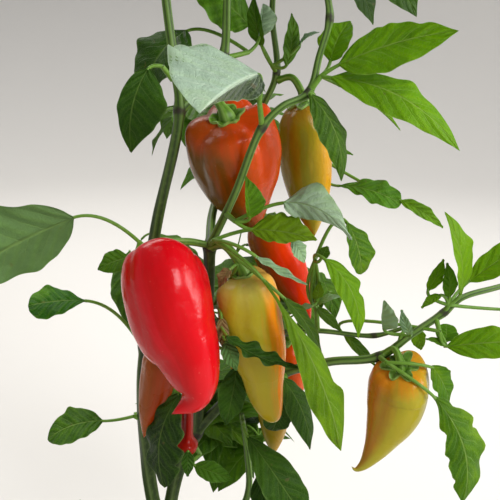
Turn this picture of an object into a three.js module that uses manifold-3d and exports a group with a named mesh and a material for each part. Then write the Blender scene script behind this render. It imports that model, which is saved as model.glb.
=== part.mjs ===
// Chilli pepper plant with large pointed fruit, modelled as separate stems, fruits and sprays of leaves.
// Millimetres, +Z up. The origin is the middle of the flat cut under the main stem, at ground level.

import * as THREE from 'three';
import Module from 'manifold-3d';

const wasm = await Module();
wasm.setup();

// Driving dimensions, in millimetres unless the name says degrees, a share or a count
const CLEARANCE = 0.35;
const FOOT_RADIUS = 8.5;
const FOOT_TOP_RADIUS = 7.4;
const ROOT_FLARE_SHARE = 0.75;
const ROOT_FLARE_HEIGHT = 22;
const STEM_SIDES = 7;
const STEM_ROWS_PER_BEND = 1.5;

const PETIOLE_RADIUS = 1.15;
const PETIOLE_LEAD_SHARE = 0.4;
const PETIOLE_ROWS = 2;
const LEAF_THICKNESS_SHARE = 0.016;
const LEAF_LEAST_THICKNESS = 1.2;
const LEAF_THINNING_SHARE = 0.45;
const LEAF_OPENING_SHARE = 0.2;
const LEAF_POWERS = [0.75, 1.05];
const LEAF_STATIONS = [0, 0.15, 0.4, 0.72, 1];
const PLAIN_LEAF_STATIONS = [0, 0.24, 0.6, 1];

const FRUIT_SIDES = 9;
const FRUIT_STATIONS = [0.02, 0.1, 0.26, 0.46, 0.66, 0.84, 0.95];
const FRUIT_SHOULDER_SHARE = 0.2;
const FRUIT_SHOULDER_ROUNDING = 0.92;
const FRUIT_HOLLOW_SHARE = 0.16;
const STALK_RADIUS = 2.4;
const STALK_THICKENING = 0.5;
const STALK_ROWS = 4;
const STALK_SIDES = 6;
const STALK_SEAT_SHARE = 0.3;
const STALK_NECK = 2.5;
const CAP_START_SHARE = 0.7;
const CAP_RADIUS_SHARE = 0.44;

const SPRAY_TWIG_RADII = [2, 1.7];
const SPRAY_TWIG_SIDES = 5;
const SPRAY_TWIG_ROWS = 1;
const KNOT_OVERRUN = 1.2;

const MASS_TWIG_LENGTH = 31;
const MASS_TWIG_RADIUS = 1.9;
const MASS_TWIG_SIDES = [5, 3, 3];
const MASS_TWIG_SHORTENING = 0.25;
const MASS_TWIG_THINNING = 0.78;
const MASS_LEAVES_AT_FORK = [1, 1, 2];
const MASS_LEAF_TRIES = 8;
const MASS_LEAF_LENGTH = 106;
const MASS_LEAF_SHORTENING = 0.3;
const MASS_LEAF_WIDTH_SHARE = 0.52;
const MASS_LEAF_STALK_SHARE = 0.2;
const MASS_LEAF_BLADE_SHARE = 0.76;
const MASS_LEAF_LEAST_DROOP = 0.2;
const MASS_LEAF_DROOP_SPREAD = 0.6;
const MASS_LEAF_ARCH_SHARE = 0.08;
const MASS_LEAF_FOLD_DEGREES = 10;
const MASS_LEAF_FORWARD_SHARE = 0.45;
const MASS_LEAF_LIFT_SHARE = 0.2;
const FORK_DEGREES = 36;
const GOLDEN_DEGREES = 137.5;

// Forks and bends of the stems, named once and used by every piece that meets them
const LOW_FORK = [-2, 2, 120];
const RIGHT_FORK = [29, 5, 226];
const LEFT_FORK = [25, 0, 494];
const KNEE = [46, -20, 400];
const UPPER_NODE = [83, -40, 487];
const HIGH_NODE = [113, -32, 508];
const BACK_NODE = [96, 60, 518];
const RIGHT_NODE = [173, -25, 313];
const FAN_NODE = [220, -22, 348];

const GREEN_STEM = { color: 0x4d6b34, roughness: 0.55 };
const GREEN_LEAF = { color: 0x4c8a2b, roughness: 0.5 };

// Each limb is one tapering stem through its bends, from its own fork to its end
const LIMBS = [
  { name: 'main_stem', through: [[0, 0, 0], [0, 0, 40], [-1, 1, 85], LOW_FORK],
    radii: [FOOT_RADIUS, FOOT_TOP_RADIUS] },
  { name: 'left_stem', through: [LOW_FORK, [-10, 0, 166], [-13, 0, 269], [-8, 0, 315], [3, 0, 400],
    LEFT_FORK, [22, 0, 528], [18, 5, 567], [12, 12, 640], [10, 18, 690]], radii: [6.2, 2.2] },
  { name: 'right_stem', through: [LOW_FORK, [13, 5, 188], RIGHT_FORK, [34, 3, 270], [38, 0, 315],
    [43, -7, 357], KNEE], radii: [6, 4.2] },
  { name: 'upper_bough', through: [KNEE, [65, -32, 442], UPPER_NODE, [96, -38, 500], HIGH_NODE,
    [120, -28, 531], [126, -26, 554], [123, -24, 575], [120, -18, 640], [128, -12, 668]],
  radii: [3.3, 1.7] },
  { name: 'middle_stem', through: [LEFT_FORK, [38, 10, 505], [50, 18, 519], [56, 20, 531],
    [59, 20, 568], [62, 26, 640], [74, 36, 684]], radii: [3.4, 2] },
  { name: 'back_stem', through: [KNEE, [46, 8, 414], [52, 40, 431], [61, 58, 452], [74, 64, 474],
    [88, 60, 497], BACK_NODE, [92, 56, 562], [97, 64, 610], [106, 74, 640]], radii: [3.4, 1.8] },
  { name: 'right_bough', through: [RIGHT_FORK, [46, 2, 248], [71, -4, 278], [101, -8, 290],
    [137, -18, 305], RIGHT_NODE, [197, -25, 332], FAN_NODE, [233, -20, 359], [262, -15, 366],
    [300, -6, 374]], radii: [4.6, 1.7] },
  { name: 'back_bough', through: [[38, 0, 318], [75, 4, 314], [104, 12, 315], [130, 12, 317], [175, 5, 316],
    [197, 2, 324]], radii: [2.8, 1.6] },
  { name: 'low_shoot', through: [LOW_FORK, [40, -4, 138], [66, -12, 160], [74, -14, 184], [72, -10, 222],
    [68, -8, 252]], radii: [4, 2] },
];

// Fruits. hangs: where the stalk leaves its stem; axis: the fruit's middle line, from shoulders to tip.
// profile: its width as a share of its radius, at shares of its length. Without one it has a plain taper.
const FRUITS = [
  { name: 'red_fruit', hangs: KNEE, stalkBend: [30, -24, 404],
    axis: [[14, -33, 402], [15, -44, 390], [20, -54, 368], [25, -61, 352], [33, -68, 337], [38, -76, 318],
      [36, -80, 309], [22, -85, 301]],
    profile: [[0, 0.3], [0.1, 0.92], [0.2, 1], [0.33, 0.99], [0.48, 0.9], [0.62, 0.72], [0.72, 0.6],
      [0.8, 0.48], [0.88, 0.28], [1, 0]],
    radius: 30.4, lobes: 3, lobeDepth: 0.05, lobeTurn: 40, color: 0xc4151c },
  { name: 'upper_orange_fruit', hangs: [41, 12, 508], stalkBend: [46, 6, 507],
    axis: [[59, -5, 489], [62, 1, 473], [65, 6, 455], [69, 9, 436], [74, 11, 420], [80, 12, 400]],
    profile: [[0, 0.28], [0.09, 0.92], [0.2, 1], [0.32, 1], [0.42, 0.95], [0.52, 0.88], [0.62, 0.77],
      [0.72, 0.61], [0.82, 0.42], [0.92, 0.2], [1, 0]],
    radius: 33.2, lobes: 4, lobeDepth: 0.07, lobeTurn: -20, color: 0xd9481c },
  { name: 'upper_olive_fruit', hangs: [97, 60, 512], stalkBend: [108, 56, 514],
    axis: [[118, 50, 494], [120, 48, 450], [128, 42, 388]],
    radius: 21, lobes: 3, lobeDepth: 0.04, fullness: 3, color: 0xb08a1a },
  { name: 'middle_orange_fruit', hangs: [49, 24, 422], stalkBend: [66, 36, 424],
    axis: [[85, 38, 404], [99, 36, 372], [117, 32, 336], [126, 30, 318]],
    radius: 19.5, lobes: 3, lobeDepth: 0.05, fullness: 2.4, color: 0xe05a1e },
  { name: 'middle_yellow_fruit', hangs: [46, -21, 399], stalkBend: [57, -30, 403],
    axis: [[71, -35, 383], [74, -36, 366], [76, -38, 348], [80, -39, 330], [84, -41, 312], [86, -42, 296],
      [90, -44, 280], [95, -44, 268]],
    profile: [[0, 0.3], [0.1, 0.95], [0.19, 1], [0.36, 0.98], [0.45, 0.94], [0.53, 0.87], [0.61, 0.75],
      [0.68, 0.64], [0.76, 0.57], [0.83, 0.46], [0.9, 0.3], [1, 0]],
    radius: 22.8, lobes: 3, lobeDepth: 0.06, lobeTurn: 150, color: 0xd8b43a },
  { name: 'low_orange_fruit', hangs: [41, -4, 345], stalkBend: [54, 12, 352],
    axis: [[65, 28, 332], [68, 27, 290], [77, 23, 246]],
    radius: 15, lobes: 3, lobeDepth: 0.05, fullness: 2.4, color: 0xdb8a22 },
  { name: 'left_brown_fruit', hangs: [-6, -1, 330], stalkBend: [-2, -20, 340],
    axis: [[9, -30, 324], [4, -33, 292], [-7, -38, 250]],
    radius: 13.5, lobes: 3, lobeDepth: 0.05, fullness: 2.4, color: 0xb0521c },
  { name: 'twisted_red_fruit', hangs: [34, 2, 288], stalkBend: [33, -16, 294],
    axis: [[26, -25, 278], [26, -29, 252], [24, -32, 232]],
    profile: [[0, 0.45], [0.1, 0.6], [0.5, 0.55], [0.68, 0.62], [0.84, 1.2], [0.95, 1], [1, 0]],
    radius: 8, lobes: 3, lobeDepth: 0.3, lobeTurn: 60, color: 0xc0281c },
  { name: 'behind_orange_fruit', hangs: [104, 12, 315], stalkBend: [105, 22, 312],
    axis: [[108, 29, 300], [111, 29, 270], [117, 26, 240]],
    radius: 15, lobes: 3, lobeDepth: 0.07, fullness: 2.4, color: 0xe0761e },
  { name: 'low_olive_fruit', hangs: [88, -7, 286], stalkBend: [90, 2, 284],
    axis: [[93, 5, 268], [95, 3, 236], [95, 2, 205]],
    radius: 13, lobes: 3, lobeDepth: 0.05, fullness: 2.4, color: 0xa9941f },
  { name: 'right_yellow_fruit', hangs: [174, -25, 313], stalkBend: [183, -29, 321],
    axis: [[186, -40, 312], [188, -36, 299], [188, -34, 288], [184, -37, 270], [178, -39, 255],
      [171, -42, 242], [162, -45, 230], [155, -46, 227]],
    profile: [[0, 0.33], [0.1, 0.93], [0.18, 1], [0.28, 0.99], [0.38, 0.92], [0.46, 0.82], [0.55, 0.7],
      [0.65, 0.54], [0.75, 0.38], [0.85, 0.22], [1, 0]],
    radius: 22.8, lobes: 3, lobeDepth: 0.05, lobeTurn: 30, color: 0xcdb52e },
];

// Where a blade faces: the side of the plant that its upper surface looks towards
const UP = [0, -0.35, 0.94];
const FRONT_UP = [0, -0.75, 0.66];
const FRONT = [0.1, -0.96, 0.25];
const RIGHT_FRONT = [0.62, -0.72, 0.3];
const LEFT_FRONT = [-0.55, -0.78, 0.3];
const AWAY = [-0.2, 0.8, 0.55];

// Sprays seen from nearby. from: the stem the twig grows from; knot: where its leaf stalks part.
// powers: how soon a leaf widens from its base, and how soon it narrows to its tip. tuckPowers: the same
// for its other half.
// sweep: how far it bows to the side of its wider half.
const SPRAYS = [
  { name: 'shoulder_leaf', from: UPPER_NODE, knot: [81, -47, 503], leaves: [
    { base: [80, -62, 521], tip: [48, -112, 503], width: 90, face: [0.39, -0.5, 0.75], arch: 5, fold: -6,
      tuck: -76, tuckWidth: 27, tuckPowers: [0.5, 1.8], powers: [0.5, 0.64] }] },
  { name: 'left_hanging_leaf', from: [21, 0, 515], knot: [15, -6, 524], leaves: [
    { base: [6, -10, 523], tip: [-7, -20, 467], width: 20, face: FRONT, arch: 5, fold: 12, tuck: 12,
      tuckWidth: 46, sweep: 5 }] },
  { name: 'left_shaded_leaf', from: [56, 20, 529], knot: [74, 34, 533], leaves: [
    { base: [28, 40, 548], tip: [-4, 24, 500], width: 48, face: LEFT_FRONT, arch: 10, fold: 10 },
    { base: [82, 38, 543], tip: [85, 40, 567], width: 22, face: FRONT, arch: 2, fold: 10, tuck: 40,
      tuckWidth: 5, powers: [1, 0.8] }] },
  { name: 'top_inner_spray', from: BACK_NODE, knot: [92, 53, 523], leaves: [
    { base: [74, 48, 552], tip: [30, 36, 582], width: 44, face: FRONT_UP, arch: 5, fold: 8 },
    { base: [103, 50, 523], tip: [106, 46, 561], width: 18, face: RIGHT_FRONT, arch: 3, fold: 12 },
    { base: [84, 42, 537], tip: [78, 36, 573], width: 15, face: LEFT_FRONT, arch: 3, fold: 26 },
    { base: [112, 46, 538], tip: [127, 42, 547], width: 11, face: UP, arch: 2, fold: 20 }] },
  { name: 'right_top_spray', from: HIGH_NODE, knot: [121, -33, 519], leaves: [
    { base: [132, -36, 526], tip: [200, -56, 546], width: 40, face: FRONT_UP, arch: 5, fold: 10, tuck: 10,
      tuckWidth: 33 },
    { base: [127, -38, 518], tip: [206, -62, 475], width: 27, face: [0.3, -0.75, 0.6], arch: 15, fold: -12,
      tuck: -8, tuckWidth: 38 },
    { base: [134, -26, 513], tip: [178, -20, 482], width: 15, face: [0.5, -0.4, 0.75], arch: 3, fold: 30 },
    { base: [128, -22, 528], tip: [141, -16, 553], width: 26, face: LEFT_FRONT, arch: 4, fold: 24 }] },
  { name: 'hanging_leaf', from: [114, -32, 509], knot: [116, -37, 507], leaves: [
    { base: [113, -42, 508], tip: [134, -54, 454], width: 25, face: RIGHT_FRONT, arch: 6, fold: -8,
      sweep: -4 }] },
  { name: 'high_right_spray', from: [123, -23, 590], knot: [132, -16, 600], leaves: [
    { base: [150, -14, 590], tip: [182, -24, 555], width: 30, face: FRONT_UP, arch: 6, fold: 10 },
    { base: [133, -2, 588], tip: [160, 6, 551], width: 26, face: RIGHT_FRONT, arch: 5, fold: 10 }] },
  { name: 'behind_spray', from: [74, 64, 474], knot: [122, 92, 454], leaves: [
    { base: [149, 68, 425], tip: [200, 52, 413], width: 25, face: FRONT_UP, arch: 8, fold: 14,
      powers: [1.3, 0.6] },
    { base: [143, 84, 452], tip: [162, 74, 450], width: 10, face: UP, arch: 2, fold: 10 }] },
  { name: 'left_large_leaf', from: [0, 0, 388], knot: [-8, -5, 398], leaves: [
    { base: [-50, -24, 422], tip: [-135, -60, 380], width: 70, face: AWAY, arch: 5, fold: 8 },
    { base: [-16, -6, 386], tip: [-40, -8, 377], width: 19, face: FRONT_UP, arch: 3, fold: 10 }] },
  { name: 'left_small_leaf', from: [-9, 0, 308], knot: [-15, -5, 320], leaves: [
    { base: [-48, -16, 355], tip: [-88, -28, 356], width: 36, face: UP, arch: 2, fold: 8,
      powers: [1.2, 0.55] }] },
  { name: 'left_low_leaf', from: [-13, 0, 240], knot: [-21, -2, 246], leaves: [
    { base: [-48, 0, 240], tip: [-92, -10, 229], width: 35, face: UP, arch: 7, fold: 10,
      powers: [0.75, 0.75] }] },
  { name: 'front_dark_leaf', from: [37, 1, 303], knot: [33, -16, 308], leaves: [
    { base: [24, -50, 296], tip: [11, -62, 223], width: 36, face: LEFT_FRONT, arch: 6, fold: -10, sweep: 7,
      powers: [0.75, 0.55], lead: [28, -38, 314] }] },
  { name: 'low_left_spray', from: [25, 5, 217], knot: [34, -12, 216], leaves: [
    { base: [27, -40, 240], tip: [27, -48, 222], width: 10, face: FRONT, arch: 2, fold: 10 },
    { base: [30, -25, 215], tip: [61, -30, 205], width: 16, face: FRONT_UP, arch: 3, fold: 10 }] },
  { name: 'knee_spray', from: [58, -28, 426], knot: [65, -42, 424], leaves: [
    { base: [98, -46, 438], tip: [141, -66, 418], width: 18, face: [0.25, -0.5, 0.83], arch: 9, fold: -75,
      tuck: 30, tuckWidth: 38, powers: [0.5, 1.6] },
    { base: [76, -48, 420], tip: [119, -62, 417], width: 18, face: FRONT_UP, arch: 4, fold: 8, tuck: 8,
      tuckWidth: 30 },
    { base: [75, -47, 428], tip: [72, -50, 457], width: 22, face: FRONT, arch: 3, fold: 14, tuck: 50,
      tuckWidth: 8, powers: [0.65, 1.1] }] },
  { name: 'long_leaf_spray', from: KNEE, knot: [50, -36, 409], leaves: [
    { base: [84, -62, 389], tip: [138, -84, 271], width: 26, face: RIGHT_FRONT, arch: 7, fold: -12,
      tuck: -12, tuckWidth: 43, sweep: -4, powers: [1.9, 1] },
    { base: [98, -54, 373], tip: [127, -50, 325], width: 17, face: [0.7, -0.4, 0.6], arch: 4, fold: 12 },
    { base: [79, -60, 405], tip: [113, -66, 387], width: 10, face: UP, arch: -2, fold: 18 }] },
  { name: 'curled_spray', from: [43, -7, 355], knot: [46, -26, 352], leaves: [
    { base: [59, -69, 351], tip: [109, -76, 331], width: 16, face: UP, arch: -6, fold: 34,
      lead: [53, -52, 352] },
    { base: [58, -64, 345], tip: [66, -72, 327], width: 12, face: FRONT, arch: 2, fold: 8,
      lead: [54, -50, 346] }] },
  { name: 'shaded_leaf', from: [38, 0, 320], knot: [42, -14, 318], leaves: [
    { base: [65, -26, 305], tip: [56, -30, 256], width: 22, face: FRONT, arch: 5, fold: 8 }] },
  { name: 'leafy_twig', from: [130, 12, 317], knot: [124, -6, 384], leaves: [
    { base: [128, -34, 394], tip: [151, -54, 342], width: 20, face: RIGHT_FRONT, arch: 8, fold: -8,
      tuck: -8, tuckWidth: 29, sweep: -4 },
    { base: [145, -14, 416], tip: [156, -24, 379], width: 23, face: RIGHT_FRONT, arch: 4, fold: 10,
      tuck: 10, tuckWidth: 31, powers: [0.9, 0.6] },
    { base: [126, -6, 352], tip: [127, -14, 370], width: 9, face: FRONT, arch: 2, fold: 10 },
    { base: [123, -8, 348], tip: [112, -14, 345], width: 7, face: UP, arch: 2, fold: 10 },
    { base: [127, -4, 347], tip: [145, -8, 355], width: 9, face: UP, arch: 3, fold: 10 }] },
  { name: 'dark_hanging_spray', from: [101, -8, 290], knot: [103, -18, 291], leaves: [
    { base: [100, -23, 293], tip: [123, -27, 231], width: 24, face: RIGHT_FRONT, arch: 5, fold: -8,
      sweep: -3 },
    { base: [101, -20, 278], tip: [93, -20, 244], width: 24, face: FRONT, arch: 4, fold: 10,
      powers: [0.55, 0.55] }] },
  { name: 'low_dark_spray', from: [69, -8, 246], knot: [70, -20, 249], leaves: [
    { base: [73, -30, 246], tip: [119, -54, 184], width: 31, face: FRONT_UP, arch: 11, fold: 8,
      powers: [0.95, 0.8] },
    { base: [81, -28, 207], tip: [96, -44, 170], width: 24, face: FRONT_UP, arch: 6, fold: 8 }] },
  { name: 'right_hanging_spray', from: RIGHT_NODE, knot: [175, -42, 317], leaves: [
    { base: [208, -54, 296], tip: [234, -66, 213], width: 30, face: [0.35, -0.85, 0.4], arch: 8, fold: -8,
      tuck: -8, tuckWidth: 46, sweep: -8, powers: [1, 0.8], lead: [200, -64, 308] },
    { base: [209, -40, 313], tip: [224, -42, 283], width: 24, face: RIGHT_FRONT, arch: 3, fold: 10,
      lead: [196, -52, 322] }] },
  { name: 'right_young_spray', from: [188, -25, 324], knot: [189, -24, 331], leaves: [
    { base: [176, -22, 334], tip: [175, -22, 358], width: 26, face: LEFT_FRONT, arch: 2, fold: 14, tuck: 40,
      tuckWidth: 3 },
    { base: [195, -28, 332], tip: [186, -30, 354], width: 9, face: LEFT_FRONT, arch: 2, fold: 14 }] },
  { name: 'right_fan_spray', from: FAN_NODE, knot: [222, -24, 355], leaves: [
    { base: [229, -27, 365], tip: [209, -34, 429], width: 30, face: RIGHT_FRONT, arch: 6, fold: 14,
      tuck: 14, tuckWidth: 20, powers: [0.8, 1.1] },
    { base: [207, -20, 365], tip: [217, -18, 389], width: 11, face: FRONT, arch: 2, fold: 20 },
    { base: [239, -14, 370], tip: [286, -22, 413], width: 21, face: FRONT_UP, arch: 3, fold: 14 }] },
  { name: 'right_low_spray', from: [214, -23, 344], knot: [215, -31, 337], leaves: [
    { base: [221, -34, 326], tip: [285, -48, 337], width: 24, face: FRONT_UP, arch: 5, fold: 8 },
    { base: [222, -26, 326], tip: [223, -20, 338], width: 17, face: FRONT_UP, arch: 2, fold: 10,
      powers: [0.55, 0.55] },
    { base: [221, -30, 324], tip: [205, -32, 331], width: 8, face: UP, arch: 2, fold: 10 }] },
];

// Masses of foliage round the rest of the plant. Each grows from one stem inside its own egg-shaped space.
const MASSES = [
  { name: 'crown_left_top', from: [10, 18, 690], towards: [-0.3, 0, 1],
    middle: [-14, 16, 754], reach: [84, 86, 72], seed: 11 },
  { name: 'crown_middle_top', from: [74, 36, 684], towards: [0.3, 0.3, 1],
    middle: [94, 70, 746], reach: [72, 86, 72], seed: 23 },
  { name: 'crown_right_top', from: [128, -12, 668], towards: [0.2, -0.5, 1],
    middle: [142, -50, 736], reach: [78, 76, 72], seed: 37 },
  { name: 'crown_left', from: [12, 12, 640], towards: [-1, -0.1, 0.15],
    middle: [-62, 0, 634], reach: [86, 86, 60], seed: 41 },
  { name: 'crown_front', from: [17, 6, 600], towards: [0.3, -1, 0.3],
    middle: [44, -72, 628], reach: [78, 80, 56], seed: 53 },
  { name: 'crown_back', from: [62, 26, 640], towards: [-0.4, 1, 0.1],
    middle: [24, 104, 642], reach: [80, 86, 62], seed: 67 },
  { name: 'crown_back_right', from: [106, 74, 640], towards: [0.8, 0.6, 0.3],
    middle: [160, 116, 652], reach: [76, 78, 68], seed: 71 },
  { name: 'crown_right', from: [121, -20, 622], towards: [1, -0.1, 0.1],
    middle: [186, -18, 632], reach: [80, 80, 56], seed: 83 },
  { name: 'back_upper', from: [61, 58, 452], towards: [-0.1, 1, 0.15],
    middle: [54, 130, 456], reach: [74, 82, 68], seed: 97 },
  { name: 'back_right', from: [104, 12, 315], towards: [0, 1, 0.1],
    middle: [100, 92, 322], reach: [64, 82, 68], seed: 103 },
  { name: 'back_left', from: [-8, 0, 315], towards: [0.3, 1, 0.1],
    middle: [14, 78, 326], reach: [60, 80, 68], seed: 113 },
  { name: 'back_low', from: [13, 5, 188], towards: [0.3, 1, 0],
    middle: [44, 82, 192], reach: [84, 84, 66], seed: 127 },
  { name: 'right_end', from: [300, -6, 374], towards: [1, 0.1, 0.1],
    middle: [336, -4, 368], reach: [68, 78, 64], seed: 131 },
  { name: 'front_low', from: [46, -6, 142], towards: [0.3, -1, -0.1],
    middle: [72, -72, 118], reach: [82, 76, 52], seed: 149 },
  { name: 'left_low', from: [-6, 1, 140], towards: [-1, -0.1, -0.2],
    middle: [-66, -10, 100], reach: [74, 72, 44], seed: 157 },
];

/** A three.js vector from a list of three numbers. */
function vector(list) {
  return new THREE.Vector3(...list);
}

/** A repeatable run of numbers from 0 to 1. */
function seeded(seed) {
  let state = seed >>> 0;
  return () => {
    state = (Math.imul(state, 1664525) + 1013904223) >>> 0;
    return state / 4294967296;
  };
}

/** The part of one direction that lies square to another, at length one. */
function squareTo(direction, axis) {
  return direction.clone().addScaledVector(axis, -direction.dot(axis)).normalize();
}

/** A closed solid from a stack of rings, with a point or a flat cap at each end. */
function solidFromRings(rings) {
  const places = [];
  const faces = [];
  const starts = rings.map((ring) => {
    const first = places.length;
    ring.forEach((place) => places.push(place));
    return first;
  });
  for (let row = 0; row + 1 < rings.length; row += 1) {
    const sides = Math.max(rings[row].length, rings[row + 1].length);
    for (let side = 0; side < sides; side += 1) {
      const next = (side + 1) % sides;
      const low = starts[row] + (rings[row].length === 1 ? 0 : side);
      const lowNext = starts[row] + (rings[row].length === 1 ? 0 : next);
      const high = starts[row + 1] + (rings[row + 1].length === 1 ? 0 : side);
      const highNext = starts[row + 1] + (rings[row + 1].length === 1 ? 0 : next);
      if (low !== lowNext) faces.push([low, lowNext, high]);
      if (high !== highNext) faces.push([lowNext, highNext, high]);
    }
  }
  const last = rings.length - 1;
  for (let side = 1; side + 1 < rings[0].length; side += 1) {
    faces.push([starts[0], starts[0] + side + 1, starts[0] + side]);
  }
  for (let side = 1; side + 1 < rings[last].length; side += 1) {
    faces.push([starts[last], starts[last] + side, starts[last] + side + 1]);
  }
  let volume = 0;
  faces.forEach(([a, b, c]) => {
    volume += places[a].dot(new THREE.Vector3().crossVectors(places[b], places[c]));
  });
  const outward = ([a, b, c]) => (volume < 0 ? [a, c, b] : [a, b, c]);
  const triVerts = new Uint32Array(faces.flatMap(outward));
  const vertProperties = new Float32Array(places.flatMap((place) => place.toArray()));
  return new wasm.Manifold(new wasm.Mesh({ numProp: 3, vertProperties, triVerts }));
}

/** A round stem that tapers along a smooth curve. */
function taperedStem(curve, startRadius, endRadius, rows, sides, swell = () => 1) {
  const frames = curve.computeFrenetFrames(rows, false);
  const rings = [];
  for (let row = 0; row <= rows; row += 1) {
    const along = row / rows;
    const middle = curve.getPointAt(along);
    const radius = THREE.MathUtils.lerp(startRadius, endRadius, along) * swell(along);
    const ring = [];
    for (let side = 0; side < sides; side += 1) {
      const angle = (side / sides) * Math.PI * 2;
      ring.push(middle.clone()
        .addScaledVector(frames.normals[row], Math.cos(angle) * radius)
        .addScaledVector(frames.binormals[row], Math.sin(angle) * radius));
    }
    rings.push(ring);
  }
  return rings;
}

/** The rings of one limb, with the root flare and the flat cut on the main stem. */
function limbRings(limb, extra) {
  const curve = new THREE.CatmullRomCurve3(limb.through.map(vector), false, 'centripetal');
  const rows = Math.round(limb.through.length * STEM_ROWS_PER_BEND);
  const length = curve.getLength();
  const atGround = limb.name === 'main_stem';
  const flare = (along) => 1 + ROOT_FLARE_SHARE * Math.exp(-(along * length) / ROOT_FLARE_HEIGHT);
  const rings = taperedStem(curve, limb.radii[0] + extra, limb.radii[1] + extra, rows, STEM_SIDES,
    atGround ? flare : undefined);
  if (atGround) rings[0].forEach((place) => place.setZ(0));
  if (extra > 0 && !atGround) {
    const lastRing = rings[rings.length - 1];
    const tangent = curve.getTangentAt(1);
    lastRing.forEach((place) => place.addScaledVector(tangent, extra));
  }
  if (extra > 0 && atGround) rings[rings.length - 1].forEach((place) => place.setZ(place.z + extra));
  return rings;
}

/** Half the width of a leaf, as a share of its widest half, from its base at 0 to its tip at 1. */
function leafOutline(along, [basePower, tipPower]) {
  const shape = (place) => place ** basePower * (1 - place) ** tipPower;
  return shape(along) / shape(basePower / (basePower + tipPower));
}

/** The rings of one leaf: a stalk from its knot to the blade, then a folded blade of lens section. */
function leafRings(knot, leaf, stations, stalkRows, extra) {
  const base = vector(leaf.base);
  const tip = vector(leaf.tip);
  const facing = vector(leaf.face);
  const chord = tip.clone().sub(base);
  const length = chord.length();
  const lift = squareTo(facing, chord.clone().normalize());
  const aside = new THREE.Vector3().crossVectors(chord, lift).normalize();
  const crest = base.clone().lerp(tip, 0.5).addScaledVector(lift, leaf.arch * 2)
    .addScaledVector(aside, (leaf.sweep || 0) * 2);
  const midrib = new THREE.QuadraticBezierCurve3(base, crest, tip);
  const start = vector(knot);
  const reach = start.distanceTo(base);
  const straight = base.clone().addScaledVector(midrib.getTangent(0), -PETIOLE_LEAD_SHARE * reach);
  const lead = leaf.lead ? vector(leaf.lead) : straight;
  const stalk = new THREE.QuadraticBezierCurve3(start, lead, base);
  const thickness = Math.max(length * LEAF_THICKNESS_SHARE, LEAF_LEAST_THICKNESS) / 2 + extra;
  const section = (middle, along, up, halfThickness, left, right) => {
    const side = new THREE.Vector3().crossVectors(along, up);
    const edge = (sign, half) => middle.clone()
      .addScaledVector(side, sign * half.width * Math.cos(half.bend))
      .addScaledVector(up, half.width * Math.sin(half.bend));
    return [edge(-1, right), middle.clone().addScaledVector(up, halfThickness), edge(1, left),
      middle.clone().addScaledVector(up, -halfThickness)];
  };
  const stalkHalf = { width: PETIOLE_RADIUS + extra, bend: 0 };
  const rings = [];
  let up = squareTo(facing, midrib.getTangent(0));
  const firstUp = up.clone();
  const stalkRings = [];
  for (let row = stalkRows - 1; row >= 0; row -= 1) {
    const along = row / stalkRows;
    const tangent = stalk.getTangent(along);
    up = squareTo(up, tangent);
    stalkRings.unshift(section(stalk.getPoint(along), tangent, up, stalkHalf.width, stalkHalf, stalkHalf));
  }
  rings.push(...stalkRings);
  up = firstUp;
  stations.forEach((along) => {
    const tangent = midrib.getTangent(along);
    up = squareTo(up, tangent);
    if (along === 1) {
      rings.push([tip.clone().addScaledVector(tangent, extra)]);
      return;
    }
    const opening = Math.min(along / LEAF_OPENING_SHARE, 1);
    const powers = leaf.powers ?? LEAF_POWERS;
    const half = (width, bend, shares) => ({
      width: Math.max(leafOutline(along, shares) * width * 0.5, PETIOLE_RADIUS) + extra,
      bend: THREE.MathUtils.degToRad(bend) * opening,
    });
    const thinned = thickness * (1 - LEAF_THINNING_SHARE * along);
    const halfThickness = along === 0 ? PETIOLE_RADIUS + extra : thinned;
    rings.push(section(midrib.getPoint(along), tangent, up, halfThickness,
      half(leaf.width, leaf.fold, powers),
      half(leaf.tuckWidth ?? leaf.width, leaf.tuck ?? leaf.fold, leaf.tuckPowers ?? powers)));
  });
  return rings;
}

/** How wide a fruit is, as a share of its radius, from its shoulders at 0 to its tip at 1. */
function fruitOutline(fruit, along) {
  if (fruit.profile) {
    const next = fruit.profile.findIndex(([place]) => place >= along);
    const [[startPlace, startWidth], [endPlace, endWidth]] = fruit.profile.slice(next - 1, next + 1);
    return THREE.MathUtils.mapLinear(along, startPlace, endPlace, startWidth, endWidth);
  }
  if (along < FRUIT_SHOULDER_SHARE) {
    const rise = 1 - along / FRUIT_SHOULDER_SHARE;
    return Math.sqrt(1 - rise * rise * FRUIT_SHOULDER_ROUNDING);
  }
  return 1 - ((along - FRUIT_SHOULDER_SHARE) / (1 - FRUIT_SHOULDER_SHARE)) ** fruit.fullness;
}

/** The rings of one fruit, from the hollow under its cap to its tip. */
function fruitRings(fruit, extra) {
  const axis = new THREE.CatmullRomCurve3(fruit.axis.map(vector));
  const startTangent = axis.getTangentAt(0);
  let across = squareTo(new THREE.Vector3(0, -1, 0), startTangent);
  const hollowDepth = fruit.radius * FRUIT_HOLLOW_SHARE - extra;
  const rings = [[axis.getPointAt(0).addScaledVector(startTangent, hollowDepth)]];
  FRUIT_STATIONS.forEach((along) => {
    const tangent = axis.getTangentAt(along);
    across = squareTo(across, tangent);
    const side = new THREE.Vector3().crossVectors(tangent, across);
    const ring = [];
    for (let step = 0; step < FRUIT_SIDES; step += 1) {
      const angle = (step / FRUIT_SIDES) * Math.PI * 2;
      const swing = angle * fruit.lobes + THREE.MathUtils.degToRad(fruit.lobeTurn ?? 0);
      const lobe = 1 + fruit.lobeDepth * (1 - along) * Math.cos(swing);
      const radius = fruit.radius * fruitOutline(fruit, along) * lobe + extra;
      ring.push(axis.getPointAt(along)
        .addScaledVector(across, Math.cos(angle) * radius)
        .addScaledVector(side, Math.sin(angle) * radius));
    }
    rings.push(ring);
  });
  rings.push([axis.getPointAt(1).addScaledVector(axis.getTangentAt(1), extra)]);
  return rings;
}

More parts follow.
